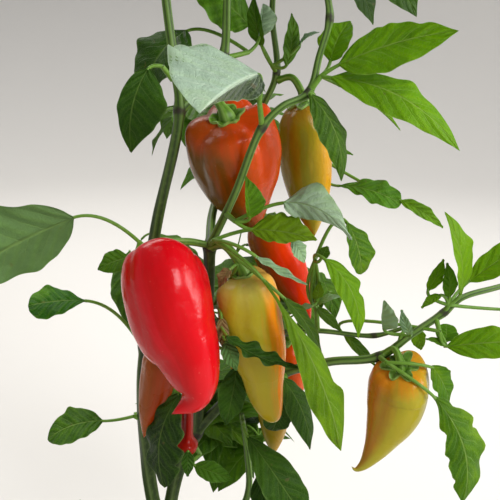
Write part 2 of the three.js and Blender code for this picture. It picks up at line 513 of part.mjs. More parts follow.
/** The rings of the stalk and the green cap that holds the fruit. */
function stalkRings(fruit, extra) {
  const top = vector(fruit.axis[0]);
  const down = vector(fruit.axis[1]).sub(top).normalize();
  const seat = top.clone().addScaledVector(down, fruit.radius * STALK_SEAT_SHARE);
  const neck = top.clone().addScaledVector(down, -STALK_NECK);
  const curve = new THREE.CatmullRomCurve3([vector(fruit.hangs), vector(fruit.stalkBend), neck, seat]);
  const cap = (along) => {
    const near = Math.max(0, along - CAP_START_SHARE) / (1 - CAP_START_SHARE);
    return 1 + (near * near * fruit.radius * CAP_RADIUS_SHARE) / STALK_RADIUS;
  };
  const radius = STALK_RADIUS + extra;
  return taperedStem(curve, radius, radius + STALK_THICKENING, STALK_ROWS, STALK_SIDES, cap);
}

/** Whether a place lies inside a mass's own space. */
function inSpace(mass, place) {
  const off = place.clone().sub(vector(mass.middle)).divide(vector(mass.reach));
  return off.lengthSq() <= 1;
}

const built = [];
const plant = new THREE.Group();

/** The box round a solid. */
function boxOf(solid) {
  const { min, max } = solid.boundingBox();
  return new THREE.Box3(vector(min), vector(max));
}

/** Whether a solid would touch anything that is already built. */
function touches(solid) {
  const box = boxOf(solid);
  return built.some((other) => box.intersectsBox(other.box) && !solid.intersect(other.around).isEmpty());
}

/** Cuts a solid clear of everything built before it and keeps its largest piece. */
function cutClear(solid) {
  const box = boxOf(solid);
  let left = solid;
  built.forEach((other) => {
    if (box.intersectsBox(other.box)) left = left.subtract(other.around);
  });
  const pieces = left.decompose();
  return pieces.reduce((largest, piece) => (piece.volume() > largest.volume() ? piece : largest));
}

/** Adds a finished solid to the plant as a named mesh. around: the same shape, grown by the clearance. */
function addPiece(name, solid, around, look) {
  const piece = cutClear(solid);
  const mesh = piece.getMesh();
  const geometry = new THREE.BufferGeometry();
  geometry.setAttribute('position', new THREE.BufferAttribute(new Float32Array(mesh.vertProperties), 3));
  geometry.setIndex(new THREE.BufferAttribute(new Uint32Array(mesh.triVerts), 1));
  const material = new THREE.MeshStandardMaterial({ ...look, metalness: 0 });
  const node = new THREE.Mesh(geometry, material);
  node.name = name;
  plant.add(node);
  built.push({ around, box: boxOf(around) });
}

/** One solid from many that overlap. */
function fuse(solids) {
  return solids.reduce((sum, solid) => sum.add(solid));
}

/** The twig that carries a spray, from inside its stem to just past its knot. */
function sprayTwig(spray, extra) {
  const start = vector(spray.from);
  const knot = vector(spray.knot);
  const overrun = knot.clone().sub(start).setLength(KNOT_OVERRUN + extra);
  const line = new THREE.LineCurve3(start, knot.clone().add(overrun));
  const [startRadius, endRadius] = SPRAY_TWIG_RADII;
  return solidFromRings(taperedStem(line, startRadius + extra, endRadius + extra, SPRAY_TWIG_ROWS,
    SPRAY_TWIG_SIDES));
}

/** Builds one spray: its twig and every leaf on it. */
function addSpray(spray) {
  const make = (extra) => fuse([sprayTwig(spray, extra), ...spray.leaves.map(
    (leaf) => solidFromRings(leafRings(spray.knot, leaf, LEAF_STATIONS, PETIOLE_ROWS, extra)))]);
  addPiece(spray.name, make(0), make(CLEARANCE), GREEN_LEAF);
}

/** A leaf that spreads outward from the end of a twig and droops to its tip. */
function spreadingLeaf(end, outward, size, droop) {
  const base = end.clone().addScaledVector(outward, size * MASS_LEAF_STALK_SHARE);
  const tip = base.clone().addScaledVector(outward, size * MASS_LEAF_BLADE_SHARE)
    .add(new THREE.Vector3(0, 0, -size * droop));
  return { base: base.toArray(), tip: tip.toArray(), width: size * MASS_LEAF_WIDTH_SHARE, face: [0, 0, 1],
    arch: size * MASS_LEAF_ARCH_SHARE, fold: MASS_LEAF_FOLD_DEGREES };
}

/** Builds one mass: forking twigs with leaves at each fork, kept inside the mass's own space. */
function addMass(mass) {
  const chance = seeded(mass.seed);
  const solids = [];
  const blades = [];
  const spread = THREE.MathUtils.degToRad(FORK_DEGREES);
  const lastLevel = MASS_LEAVES_AT_FORK.length - 1;
  const clear = (solid) => !touches(solid) && blades.every((blade) => solid.intersect(blade).isEmpty());
  const addLeaves = (end, heading, level, turn) => {
    let wanted = MASS_LEAVES_AT_FORK[level];
    for (let step = 0; step < MASS_LEAF_TRIES && wanted > 0; step += 1) {
      const swing = turn + (step / MASS_LEAF_TRIES) * Math.PI * 4 + chance() - 0.5;
      const outward = heading.clone().multiplyScalar(MASS_LEAF_FORWARD_SHARE)
        .add(new THREE.Vector3(Math.cos(swing), Math.sin(swing), MASS_LEAF_LIFT_SHARE)).normalize();
      const size = MASS_LEAF_LENGTH * (1 - MASS_LEAF_SHORTENING * chance());
      const droop = MASS_LEAF_LEAST_DROOP + MASS_LEAF_DROOP_SPREAD * chance();
      const leaf = spreadingLeaf(end, outward, size, droop);
      const rings = leafRings(end.toArray(), leaf, PLAIN_LEAF_STATIONS, 1, 0);
      const blade = solidFromRings(rings.slice(1));
      const fits = inSpace(mass, vector(leaf.tip)) && inSpace(mass, vector(leaf.base));
      if (fits && clear(blade)) {
        blades.push(blade);
        solids.push(solidFromRings(rings));
        wanted -= 1;
      }
    }
  };
  const grow = (start, heading, length, radius, level, turn) => {
    const end = start.clone().addScaledVector(heading, length);
    const line = new THREE.LineCurve3(start, end);
    const nextRadius = radius * MASS_TWIG_THINNING;
    const twig = solidFromRings(taperedStem(line, radius, nextRadius, 1, MASS_TWIG_SIDES[level]));
    if (level > 0 && (!inSpace(mass, end) || !clear(twig))) return;
    solids.push(twig);
    addLeaves(end, heading, level, turn);
    if (level === lastLevel) return;
    const side = squareTo(new THREE.Vector3(Math.cos(turn), Math.sin(turn), MASS_LEAF_LIFT_SHARE), heading);
    const nextTurn = turn + THREE.MathUtils.degToRad(GOLDEN_DEGREES);
    [-1, 1].forEach((sign) => {
      const next = heading.clone().multiplyScalar(Math.cos(spread))
        .addScaledVector(side, sign * Math.sin(spread)).normalize();
      grow(end, next, length * (1 - MASS_TWIG_SHORTENING * chance()), nextRadius, level + 1, nextTurn);
    });
  };
  const heading = vector(mass.towards).normalize();
  grow(vector(mass.from), heading, MASS_TWIG_LENGTH, MASS_TWIG_RADIUS, 0, chance() * Math.PI * 2);
  const solid = fuse(solids);
  addPiece(mass.name, solid, solid, GREEN_LEAF);
}

LIMBS.forEach((limb) => {
  const make = (extra) => solidFromRings(limbRings(limb, extra));
  addPiece(limb.name, make(0), make(CLEARANCE), GREEN_STEM);
});
FRUITS.forEach((fruit) => {
  const make = (extra) => fuse([fruitRings(fruit, extra), stalkRings(fruit, extra)].map(solidFromRings));
  addPiece(fruit.name, make(0), make(CLEARANCE), { color: fruit.color, roughness: 0.2 });
});
SPRAYS.forEach(addSpray);
MASSES.forEach(addMass);

export default plant;
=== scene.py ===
"""Chilli pepper plant: leaves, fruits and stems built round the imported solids."""

import logging
import math
from dataclasses import dataclass, field
from enum import Enum
from typing import Any, Iterable, Sequence

import bpy
import numpy as np
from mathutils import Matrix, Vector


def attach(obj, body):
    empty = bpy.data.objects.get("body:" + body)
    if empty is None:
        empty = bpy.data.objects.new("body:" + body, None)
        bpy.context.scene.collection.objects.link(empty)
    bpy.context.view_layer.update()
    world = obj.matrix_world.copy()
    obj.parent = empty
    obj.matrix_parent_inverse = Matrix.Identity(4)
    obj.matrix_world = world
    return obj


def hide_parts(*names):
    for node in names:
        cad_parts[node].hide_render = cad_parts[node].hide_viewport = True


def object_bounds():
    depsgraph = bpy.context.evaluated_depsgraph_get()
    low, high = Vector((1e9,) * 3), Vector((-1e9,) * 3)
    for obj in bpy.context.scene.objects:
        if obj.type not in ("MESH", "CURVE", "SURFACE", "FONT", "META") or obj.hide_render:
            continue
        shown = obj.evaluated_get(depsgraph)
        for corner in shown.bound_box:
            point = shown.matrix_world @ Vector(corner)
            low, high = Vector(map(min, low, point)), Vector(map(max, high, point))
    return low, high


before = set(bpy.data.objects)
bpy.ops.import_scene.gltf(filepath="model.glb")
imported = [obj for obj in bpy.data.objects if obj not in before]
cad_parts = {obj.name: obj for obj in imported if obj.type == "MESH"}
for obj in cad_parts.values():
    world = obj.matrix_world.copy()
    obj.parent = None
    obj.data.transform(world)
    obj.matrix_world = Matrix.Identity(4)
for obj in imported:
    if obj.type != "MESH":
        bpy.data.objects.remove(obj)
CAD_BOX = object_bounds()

log = logging.getLogger("plant")

Array = np.ndarray
Point = tuple[float, float, float]
Colour = tuple[float, float, float]
Values = dict[str, Array | float]

MM = 0.001
FULL_TURN = 2 * math.pi
GOLDEN_TURN = math.radians(137.5)

# Forks and bends of the stems, in millimetres, named once and used by every piece that meets them
LOW_FORK = (-2, 2, 120)
RIGHT_FORK = (29, 5, 226)
LEFT_FORK = (25, 0, 494)
KNEE = (46, -20, 400)
UPPER_NODE = (83, -40, 487)
HIGH_NODE = (113, -32, 508)
BACK_NODE = (96, 60, 518)
RIGHT_NODE = (173, -25, 313)
FAN_NODE = (220, -22, 348)
SPUR_NODE = (56, 20, 531)

# Where a blade faces: the side of the plant that its upper surface looks towards
UP = (0, -0.35, 0.94)
FRONT_UP = (0, -0.75, 0.66)
FRONT = (0.1, -0.96, 0.25)
RIGHT_FRONT = (0.62, -0.72, 0.3)
LEFT_FRONT = (-0.55, -0.78, 0.3)
AWAY = (-0.2, 0.8, 0.55)


def paint(code: str) -> Colour:
    """The linear colour of a six-digit screen colour."""
    channels = [int(code[place:place + 2], 16) / 255 for place in (0, 2, 4)]
    return tuple(c / 12.92 if c < 0.04045 else ((c + 0.055) / 1.055) ** 2.4 for c in channels)


def paints(codes: str) -> tuple[Colour, ...]:
    """The linear colours of several screen colours, parted by spaces."""
    return tuple(paint(code) for code in codes.split())


class Shade(Enum):
    """The kinds of leaf colour: lit and shaded copies of one green, with painted shade for leaves in shadow,
    painted sunlight on the sunlit ones and a painted sky reflection on the pale waxy ones, and dry brown
    leaves.
    """

    # Painted shade: the leaf colour darkened for leaves in shadow.
    DEEP = "deep_green_leaf"
    GREEN = "mid_green_leaf"
    BRIGHT = "sunlit_leaf"
    # A waxy sheen in the shader, and a painted sky reflection: the leaf colour made pale on upturned leaves.
    WAXY = "pale_waxy_leaf"
    DRY = "dry_brown_leaf"


# Shapes as numpy surfaces


@dataclass
class Surface:
    """Points in millimetres, their faces and their named values."""

    points: Array
    quads: Array
    triangles: Array
    values: dict[str, Array]

    @staticmethod
    def joined(parts: Sequence["Surface"]) -> "Surface":
        """One surface from many, with the point numbers of each moved past those before it."""
        starts = np.cumsum([0] + [len(part.points) for part in parts[:-1]])
        return Surface(
            np.concatenate([part.points for part in parts]),
            np.concatenate([part.quads + start for part, start in zip(parts, starts)]),
            np.concatenate([part.triangles + start for part, start in zip(parts, starts)]),
            {name: np.concatenate([part.values[name] for part in parts]) for name in parts[0].values},
        )

    def triangle_count(self) -> int:
        """How many triangles the surface makes."""
        return 2 * len(self.quads) + len(self.triangles)

    def shown_as(self, name: str, material: bpy.types.Material, slot: str, replaces: Sequence[str] = (),
                 crease: float = 50.0) -> None:
        """Makes the surface an object of the scene, which rides on the plant's one body.

        Args:
            name: name of the piece.
            material: its finish.
            slot: the record's material slot; not used.
            replaces: the solids that it stands for.
            crease: the angle in degrees past which an edge stays sharp.
        """
        mesh = bpy.data.meshes.new(name)
        corners = np.concatenate([self.quads.ravel(), self.triangles.ravel()]).astype(np.int32)
        sizes = np.concatenate([np.full(len(self.quads), 4), np.full(len(self.triangles), 3)])
        mesh.vertices.add(len(self.points))
        mesh.vertices.foreach_set("co", (self.points * MM).astype(np.float32).ravel())
        mesh.loops.add(len(corners))
        mesh.loops.foreach_set("vertex_index", corners)
        mesh.polygons.add(len(sizes))
        mesh.polygons.foreach_set("loop_start", (np.cumsum(sizes) - sizes).astype(np.int32))
        mesh.update(calc_edges=True)
        for key, value in self.values.items():
            coloured = value.ndim == 2
            layer = mesh.attributes.new(key, "FLOAT_COLOR" if coloured else "FLOAT", "POINT")
            if coloured:
                value = np.concatenate([value, np.ones((len(value), 1))], axis=1)
            layer.data.foreach_set("color" if coloured else "value", value.astype(np.float32).ravel())
        mesh.materials.append(material)
        mesh.shade_smooth()
        mesh.set_sharp_from_angle(angle=math.radians(crease))
        piece = bpy.data.objects.new(name, mesh)
        bpy.context.scene.collection.objects.link(piece)
        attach(piece, "root")
        if replaces:
            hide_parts(*replaces)
        log.info("%s: %d triangles", name, self.triangle_count())


def unit(vectors: Array) -> Array:
    """Each vector at length one."""
    return vectors / np.maximum(np.linalg.norm(vectors, axis=-1, keepdims=True), 1e-9)


def square_to(vectors: Array, axes: Array) -> Array:
    """The part of each vector that lies square to its axis, at length one: v - (v . a) a."""
    return unit(vectors - np.sum(vectors * axes, axis=-1, keepdims=True) * axes)


def smooth(value: Array, low: float, high: float) -> Array:
    """A step from 0 at low to 1 at high with level ends: t t (3 - 2 t)."""
    share = np.clip((value - low) / (high - low), 0, 1)
    return share * share * (3 - 2 * share)


def bell(value: Array, reach: float) -> Array:
    """A bump of 1 at zero that fades past its reach: exp(-(v / reach)^2)."""
    return np.exp(-(value / reach) ** 2)


def angles(count: int) -> Array:
    """Evenly spaced angles once round."""
    return np.arange(count) / count * FULL_TURN


def grid_quads(rows: int, sides: int) -> Array:
    """The four-sided faces between neighbouring rings of a stack, by point number."""
    row, side = np.meshgrid(np.arange(rows - 1), np.arange(sides), indexing="ij")
    after = (side + 1) % sides
    return np.stack([row * sides + side, row * sides + after, (row + 1) * sides + after,
                     (row + 1) * sides + side], axis=-1).reshape(-1, 4)


def closed_shapes(rings: Array, starts: Array, ends: Array, values: Values) -> Surface:
    """Closes stacks of rings into solids.

    Point (i, r, s) is rings[i, r, s]. Neighbouring rings are joined by four-sided faces, and the first and
    last ring of each stack close in a fan round its own pole, which has the mean value of that ring.

    Args:
        rings: points, sized (stacks, rows, sides, 3).
        starts: the pole before each first ring.
        ends: the pole after each last ring.
        values: named values that spread to (stacks, rows, sides), or to that with 3 more for a colour.

    Returns:
        The joined surface, faces outward.
    """
    stacks, rows, sides = rings.shape[:3]
    count = rows * sides + 2
    points = np.concatenate([rings.reshape(stacks, -1, 3), starts[:, None], ends[:, None]], axis=1)
    quads = grid_quads(rows, sides)
    turn = np.arange(sides)
    following = (turn + 1) % sides
    last = (rows - 1) * sides
    fans = np.concatenate([
        np.stack([np.full(sides, count - 2), following, turn], axis=-1),
        np.stack([np.full(sides, count - 1), last + turn, last + following], axis=-1)])
    corners = points[0][np.concatenate([quads[:, :3], quads[:, [0, 2, 3]], fans])]
    volume = np.sum(corners[:, 0] * np.cross(corners[:, 1], corners[:, 2]))
    if volume < 0:
        quads, fans = quads[:, ::-1], fans[:, ::-1]
    offsets = np.arange(stacks)[:, None, None] * count
    named = {}
    for key, value in values.items():
        value = np.broadcast_to(value, (stacks, rows, sides) + np.shape(value)[3:])
        flat = value.reshape((stacks, rows * sides) + value.shape[3:])
        poles = np.stack([value[:, 0].mean(axis=1), value[:, -1].mean(axis=1)], axis=1)
        named[key] = np.concatenate([flat, poles], axis=1).reshape((-1,) + value.shape[3:])
    return Surface(points.reshape(-1, 3), (quads[None] + offsets).reshape(-1, 4),
                   (fans[None] + offsets).reshape(-1, 3), named)


def closed_shape(rings: Array, start: Array, end: Array, values: Values) -> Surface:
    """Closes one stack of rings, sized (rows, sides, 3)."""
    return closed_shapes(rings[None], start[None], end[None], values)


def spokes(angle: Array, first: Array, second: Array) -> Array:
    """Directions at angles round an axis: cos a first + sin a second."""
    return np.cos(angle)[..., None] * first + np.sin(angle)[..., None] * second


def rings_round(line: Array, first: Array, second: Array, radius: Array) -> Array:
    """Rings round a line: each of its points + radius (cos a first + sin a second).

    Args:
        line: points, sized (..., 3).
        first: directions square to the line.
        second: directions square to both.
        radius: the radius at each angle, sized (..., sides).

    Returns:
        Points, sized (..., sides, 3).
    """
    around = spokes(angles(radius.shape[-1]), first[..., None, :], second[..., None, :])
    return line[..., None, :] + radius[..., None] * around


def bark(rib: Array | float, joint: Array | float = 0.0, cork: Array | float = 0.0,
         young: Array | float = 0.0) -> Values:
    """The values that a stem's finish reads: rib sets its painted shade in the grooves and painted highlight
    on the crests.
    """
    return {"rib": rib, "joint": joint, "cork": cork, "young": young}


def catmull_rom(knots: Sequence[Point], per_span: int = 14) -> Array:
    """A smooth line through knots: centripetal Catmull-Rom spans, with end knots mirrored.

    Args:
        knots: the points it passes through.
        per_span: points made in each span.

    Returns:
        The line's points.
    """
    inner = np.array(knots, float)
    padded = np.concatenate([[2 * inner[0] - inner[1]], inner, [2 * inner[-1] - inner[-2]]])
    gaps = np.sum(np.diff(padded, axis=0) ** 2, axis=1) ** 0.25
    before, gap, after = (gaps[shift:shift + len(inner) - 1, None] for shift in (0, 1, 2))
    p0, p1, p2, p3 = (padded[shift:shift + len(inner) - 1] for shift in range(4))
    out = ((p1 - p0) / before - (p2 - p0) / (before + gap) + (p2 - p1) / gap) * gap
    into = ((p2 - p1) / gap - (p3 - p1) / (gap + after) + (p3 - p2) / after) * gap
    t = np.linspace(0, 1, per_span, endpoint=False)[None, :, None]
    a, b, m, n = (part[:, None] for part in (p1, p2, out, into))
    spans = a + m * t + (3 * (b - a) - 2 * m - n) * t ** 2 + (2 * (a - b) + m + n) * t ** 3
    return np.concatenate([spans.reshape(-1, 3), inner[-1:]])


def respaced(line: Array, shares: Array) -> Array:
    """The points of a line at given shares of its length."""
    reach = np.concatenate([[0], np.cumsum(np.linalg.norm(np.diff(line, axis=0), axis=1))])
    return np.stack([np.interp(shares * reach[-1], reach, line[:, axis]) for axis in range(3)], axis=1)


def carried_frames(line: Array, first: Point) -> tuple[Array, Array, Array]:
    """Directions along and across a line.

    The first normal is squared to the first tangent, and each next one is the one before it squared to the
    next tangent, so the frames don't spin.

    Args:
        line: the points.
        first: the wanted first normal.

    Returns:
        Tangents, normals and the directions square to both.
    """
    tangents = unit(np.gradient(line, axis=0))
    normals = np.empty_like(tangents)
    normal = np.array(first, float)
    for row, tangent in enumerate(tangents):
        normal = square_to(normal, tangent)
        normals[row] = normal
    return tangents, normals, np.cross(tangents, normals)


def one_bend(starts: Array, leads: Array, ends: Array, t: Array) -> tuple[Array, Array]:
    """A curve with one bend: (1-t)^2 start + 2 t (1-t) lead + t^2 end.

    Args:
        starts: where it begins.
        leads: the point that it bends towards.
        ends: where it ends.
        t: the share of the way.

    Returns:
        Its points and its directions.
    """
    points = (1 - t) ** 2 * starts + 2 * t * (1 - t) * leads + t ** 2 * ends
    return points, (1 - t) * (leads - starts) + t * (ends - leads)


def bent_tubes(starts: Array, leads: Array, ends: Array, radii: Array, rows: int, sides: int,
               values: Values) -> Surface:
    """Thin round stalks along curves with one bend.

    Each ring is centre + r (cos a N + sin a B), where N is square to the plane of the bend.

    Args:
        starts: where each begins, sized (n, 3).
        leads: the point that each bends towards.
        ends: where each ends.
        radii: first and last radius of each, sized (n, 2).
        rows: rings in each.
        sides: points in each ring.
        values: named values, as closed_shapes takes them.

    Returns:
        The tubes as one surface.
    """
    t = np.linspace(0, 1, rows)[None, :, None]
    middle, along = one_bend(starts[:, None], leads[:, None], ends[:, None], t)
    tangent = unit(along + 1e-6)
    plane = np.cross(leads - starts, ends - leads)
    spare = np.cross(ends - starts, np.array([0.31, 0.87, 0.4]))
    flat = np.linalg.norm(plane, axis=1, keepdims=True) < 1e-3 * np.linalg.norm(spare, axis=1, keepdims=True)
    normal = square_to(np.where(flat, spare, plane)[:, None], tangent)
    radius = radii[:, None, :1] * (1 - t) + radii[:, None, 1:] * t
    rings = rings_round(middle, normal, np.cross(tangent, normal), radius + np.zeros(sides))
    return closed_shapes(rings, middle[:, 0], middle[:, -1], values)


# Materials


class Term:
    """A number that a material works out, written with Python's own signs."""

    def __init__(self, graph: "Graph", socket: bpy.types.NodeSocket) -> None:
        """Wraps one socket of a graph."""
        self.graph = graph
        self.socket = socket

    def math(self, operation: str, *others: Any) -> "Term":
        """This number and others through one Math node."""
        settings = {"operation": operation}
        inputs = dict(enumerate((self,) + others))
        return Term(self.graph, self.graph.node("ShaderNodeMath", settings, inputs).outputs[0])

    def __add__(self, other: Any) -> "Term":
        """Sum."""
        return self.math("ADD", other)

    __radd__ = __add__

    def __mul__(self, other: Any) -> "Term":
        """Product."""
        return self.math("MULTIPLY", other)

    __rmul__ = __mul__

    def __sub__(self, other: Any) -> "Term":
        """Difference."""
        return self.math("SUBTRACT", other)

    def __rsub__(self, other: float) -> "Term":
        """A plain number less this one."""
        return (self * -1.0) + other

    def __abs__(self) -> "Term":
        """Size without its sign."""
        return self.math("ABSOLUTE")

    def sine(self) -> "Term":
        """Sine of an angle in radians."""
        return self.math("SINE")

    def above(self, limit: float) -> "Term":
        """1 where this is over the limit, else 0."""
        return self.math("GREATER_THAN", limit)

    def larger(self, other: Any) -> "Term":
        """The larger of two numbers."""
        return self.math("MAXIMUM", other)

    def step(self, low: float, high: float) -> "Term":
        """A smooth step from 0 at low to 1 at high, which may be the smaller."""
        inputs = {0: self, 1: low, 2: high, 3: 0.0, 4: 1.0}
        settings = {"interpolation_type": "SMOOTHSTEP"}
        return Term(self.graph, self.graph.node("ShaderNodeMapRange", settings, inputs).outputs[0])


class Graph:
    """The nodes of one material."""

    def __init__(self, name: str) -> None:
        """Starts an empty material."""
        self.material = bpy.data.materials.new(name)
        self.material.use_nodes = True
        self.tree = self.material.node_tree
        self.tree.nodes.clear()
        self.place = self.node("ShaderNodeTexCoord").outputs["Object"]

    def node(self, kind: str, settings: dict[str, Any] | None = None,
             inputs: dict[Any, Any] | None = None) -> bpy.types.Node:
        """Adds a node.

        Args:
            kind: Blender's name of the node's type.
            settings: properties, set first.
            inputs: values, sockets or terms by socket name or number.

        Returns:
            The node.
        """
        made = self.tree.nodes.new(kind)
        for key, value in (settings or {}).items():
            setattr(made, key, value)
        for key, value in (inputs or {}).items():
            socket = made.inputs[key]
            if isinstance(value, Term):
                value = value.socket
            if isinstance(value, bpy.types.NodeSocket):
                self.tree.links.new(value, socket)
            elif isinstance(value, tuple):
                socket.default_value = value + (1.0,) * (len(socket.default_value) - len(value))
            else:
                socket.default_value = value
        return made

    def number(self, name: str) -> Term:
        """A number that the mesh carries."""
        return Term(self, self.node("ShaderNodeAttribute", {"attribute_name": name}).outputs["Fac"])

    def colour(self, name: str) -> bpy.types.NodeSocket:
        """A colour that the mesh carries."""
        return self.node("ShaderNodeAttribute", {"attribute_name": name}).outputs["Color"]

    def vector(self, x: Any, y: Any, z: Any) -> bpy.types.NodeSocket:
        """A place made of three numbers."""
        return self.node("ShaderNodeCombineXYZ", None, {0: x, 1: y, 2: z}).outputs[0]

    def noise(self, scale: float, detail: float = 3.0, where: Any = None) -> Term:
        """Soft noise about 0.5."""
        inputs = {"Vector": where or self.place, "Scale": scale, "Detail": detail}
        return Term(self, self.node("ShaderNodeTexNoise", None, inputs).outputs[0])

    def cells(self, scale: float) -> Term:
        """Distance to the edge between the cells of a net."""
        node = self.node("ShaderNodeTexVoronoi", {"feature": "DISTANCE_TO_EDGE"},
                         {"Vector": self.place, "Scale": scale})
        return Term(self, node.outputs["Distance"])

    def mix(self, share: Any, first: Any, second: Any) -> bpy.types.NodeSocket:
        """Two colours mixed, the second by share."""
        return self.node("ShaderNodeMix", {"data_type": "RGBA"}, {0: share, 6: first, 7: second}).outputs[2]

    def layered(self, colour: Any, *layers: tuple[Any, Any]) -> bpy.types.NodeSocket:
        """A colour with others laid over it in turn, each given after its share."""
        for share, over in layers:
            colour = self.mix(share, colour, over)
        return colour

    def bump(self, height: Term, strength: float, distance: float) -> bpy.types.NodeSocket:
        """A bumped normal from a height."""
        inputs = {"Height": height, "Strength": strength, "Distance": distance}
        return self.node("ShaderNodeBump", None, inputs).outputs[0]

    def skin(self, inputs: dict[str, Any]) -> bpy.types.Node:
        """A Principled shader."""
        return self.node("ShaderNodeBsdfPrincipled", None, inputs)

    def finished(self, shader: bpy.types.Node) -> bpy.types.Material:
        """The material, with this shader as its surface."""
        self.node("ShaderNodeOutputMaterial", None, {"Surface": shader.outputs[0]})
        return self.material


@dataclass(frozen=True)
class LeafFinish:
    """A soft leaf: tinted blade, paler veins and rim, and light that shines through."""

    shade: Shade
    glow: Colour
    vein: Colour
    under: Colour
    glow_share: float
    vein_share: float
    under_share: float
    # Share of the soft patches: painted shade and painted light, with the leaf's own mottling.
    mottle_and_shading: float = 0.5
    roughness: float = 0.5
    sheen: float = 0.0
    shine: float = 0.13
    rim_share: float = 0.3
    quilting: float = 0.7
    veins_per_side: float = 6.0
    vein_lean: float = 0.25
    vein_drift: float = 3.2
    side_shift: float = 2.4
    net_scale: float = 420.0
    patch_scale: float = 34.0
    shadow: Colour = (0.012, 0.035, 0.01)
    spot: Colour = (0.16, 0.11, 0.04)
    bump_depth: float = 0.0015

    def material(self) -> bpy.types.Material:
        """Builds the finish.

        Side veins run where sin(2 pi n (along - lean |across|) + drift) peaks, with soft noise as the drift.
        The midrib is where |across| is near 0. Between the veins the blade swells, its colour lightened there
        as a painted highlight, and a fine net crosses it. Soft patches are darkened and lightened as painted
        shade and painted light, over the leaf's own mottling.

        Returns:
            The material.
        """
        g = Graph(self.shade.value)
        across, along, under = g.number("across"), g.number("along"), g.number("under")
        side = abs(across)
        drift = (g.noise(55.0, 2.0) - 0.5) * self.vein_drift + across.above(0.0) * self.side_shift
        wave = ((along - side * self.vein_lean) * (FULL_TURN * self.veins_per_side) + drift).sine()
        midrib = side.step(0.06, 0.015)
        ribs = wave.step(0.93, 1.0) * side.step(1.0, 0.2)
        net = g.cells(self.net_scale).step(0.12, 0.0)
        vein = midrib.larger(ribs * 0.55).larger(net * 0.22)
        patches = g.noise(self.patch_scale, 5.0)
        tint = g.colour("tint")
        dark, light = g.mix(0.6, tint, self.shadow), g.mix(0.45, tint, self.glow)
        blade = g.layered(
            tint,
            # Soft patches: painted shade and painted light, with the leaf's own mottling.
            (patches.step(0.48, 0.25) * self.mottle_and_shading, dark),
            (patches.step(0.5, 0.75) * self.mottle_and_shading, light),
            # Painted highlight on the swellings between the veins.
            (wave.step(-0.2, -1.0) * 0.22, light),
            (vein * self.vein_share, self.vein),
            (under * self.under_share, self.under),
            (side.step(0.95, 1.0) * self.rim_share, self.vein),
            (g.noise(160.0, 1.0).step(0.74, 0.78) * 0.35, self.spot))
        relief = (wave * -0.55 * self.quilting + vein * -0.7 + g.noise(900.0, 2.0) * 0.2
                  + g.noise(140.0, 3.0) * 1.6)
        skin = g.skin({
            "Base Color": blade, "Roughness": self.roughness + under * 0.16 + (patches - 0.5) * 0.3,
            "Normal": g.bump(relief, 0.7, self.bump_depth), "Specular IOR Level": self.shine,
            "Sheen Weight": self.sheen, "Sheen Roughness": 0.4})
        passing = tuple((bright + body) / 2 for bright, body in zip(self.glow, TINTS[self.shade]))
        through = g.node("ShaderNodeBsdfTranslucent", None, {"Color": passing})
        return g.finished(g.node("ShaderNodeMixShader", None, {
            0: self.glow_share, 1: skin.outputs[0], 2: through.outputs[0]}))


@dataclass(frozen=True)
class StemFinish:
    """Green stem skin with ribs painted pale on their crests as a painted highlight and dark in their grooves
    as painted shade, purple joints and a corky foot, paler where the stem is young.
    """

    name: str
    body: Colour
    # The groove colour is painted shade in the grooves, and it also flecks the cork.
    groove_shade_and_cork_dark: Colour
    # The rib colour is a painted highlight on the crests, and it also colours the stem's real streaks.
    rib: Colour
    joint: Colour
    cork: Colour
    young: Colour
    streak_scale: float = 260.0
    bump_depth: float = 0.0006

    def material(self) -> bpy.types.Material:
        """Builds the finish from the mesh's rib, joint, cork and young values.

        Returns:
            The material.
        """
        g = Graph(self.name)
        rib, joint, cork = g.number("rib"), g.number("joint"), g.number("cork")
        streak = g.noise(self.streak_scale, 3.0)
        skin = g.layered(
            self.body,
            (g.number("young") * (g.noise(30.0, 2.0) * 0.4 + 0.8), self.young),
            # Painted shade in the grooves between the ribs.
            (rib.step(0.1, -0.9) * 0.7, self.groove_shade_and_cork_dark),
            # Painted highlight on the rib crests.
            (rib.step(0.4, 1.0) * 0.26, self.rib),
            (streak.step(0.45, 0.75) * 0.16, self.rib),
            (cork, g.mix(g.noise(90.0, 4.0).step(0.4, 0.65), self.cork, self.groove_shade_and_cork_dark)),
            ((joint * (streak + 0.55)).step(0.6, 1.05) * 0.8, self.joint))
        relief = streak * 0.6 + g.noise(700.0, 2.0) * 0.3 + g.cells(160.0) * cork
        return g.finished(g.skin({
            "Base Color": skin, "Roughness": 0.44 + cork * 0.3 + (streak - 0.5) * 0.2,
            "Normal": g.bump(relief, 0.5, self.bump_depth), "Specular IOR Level": 0.3}))


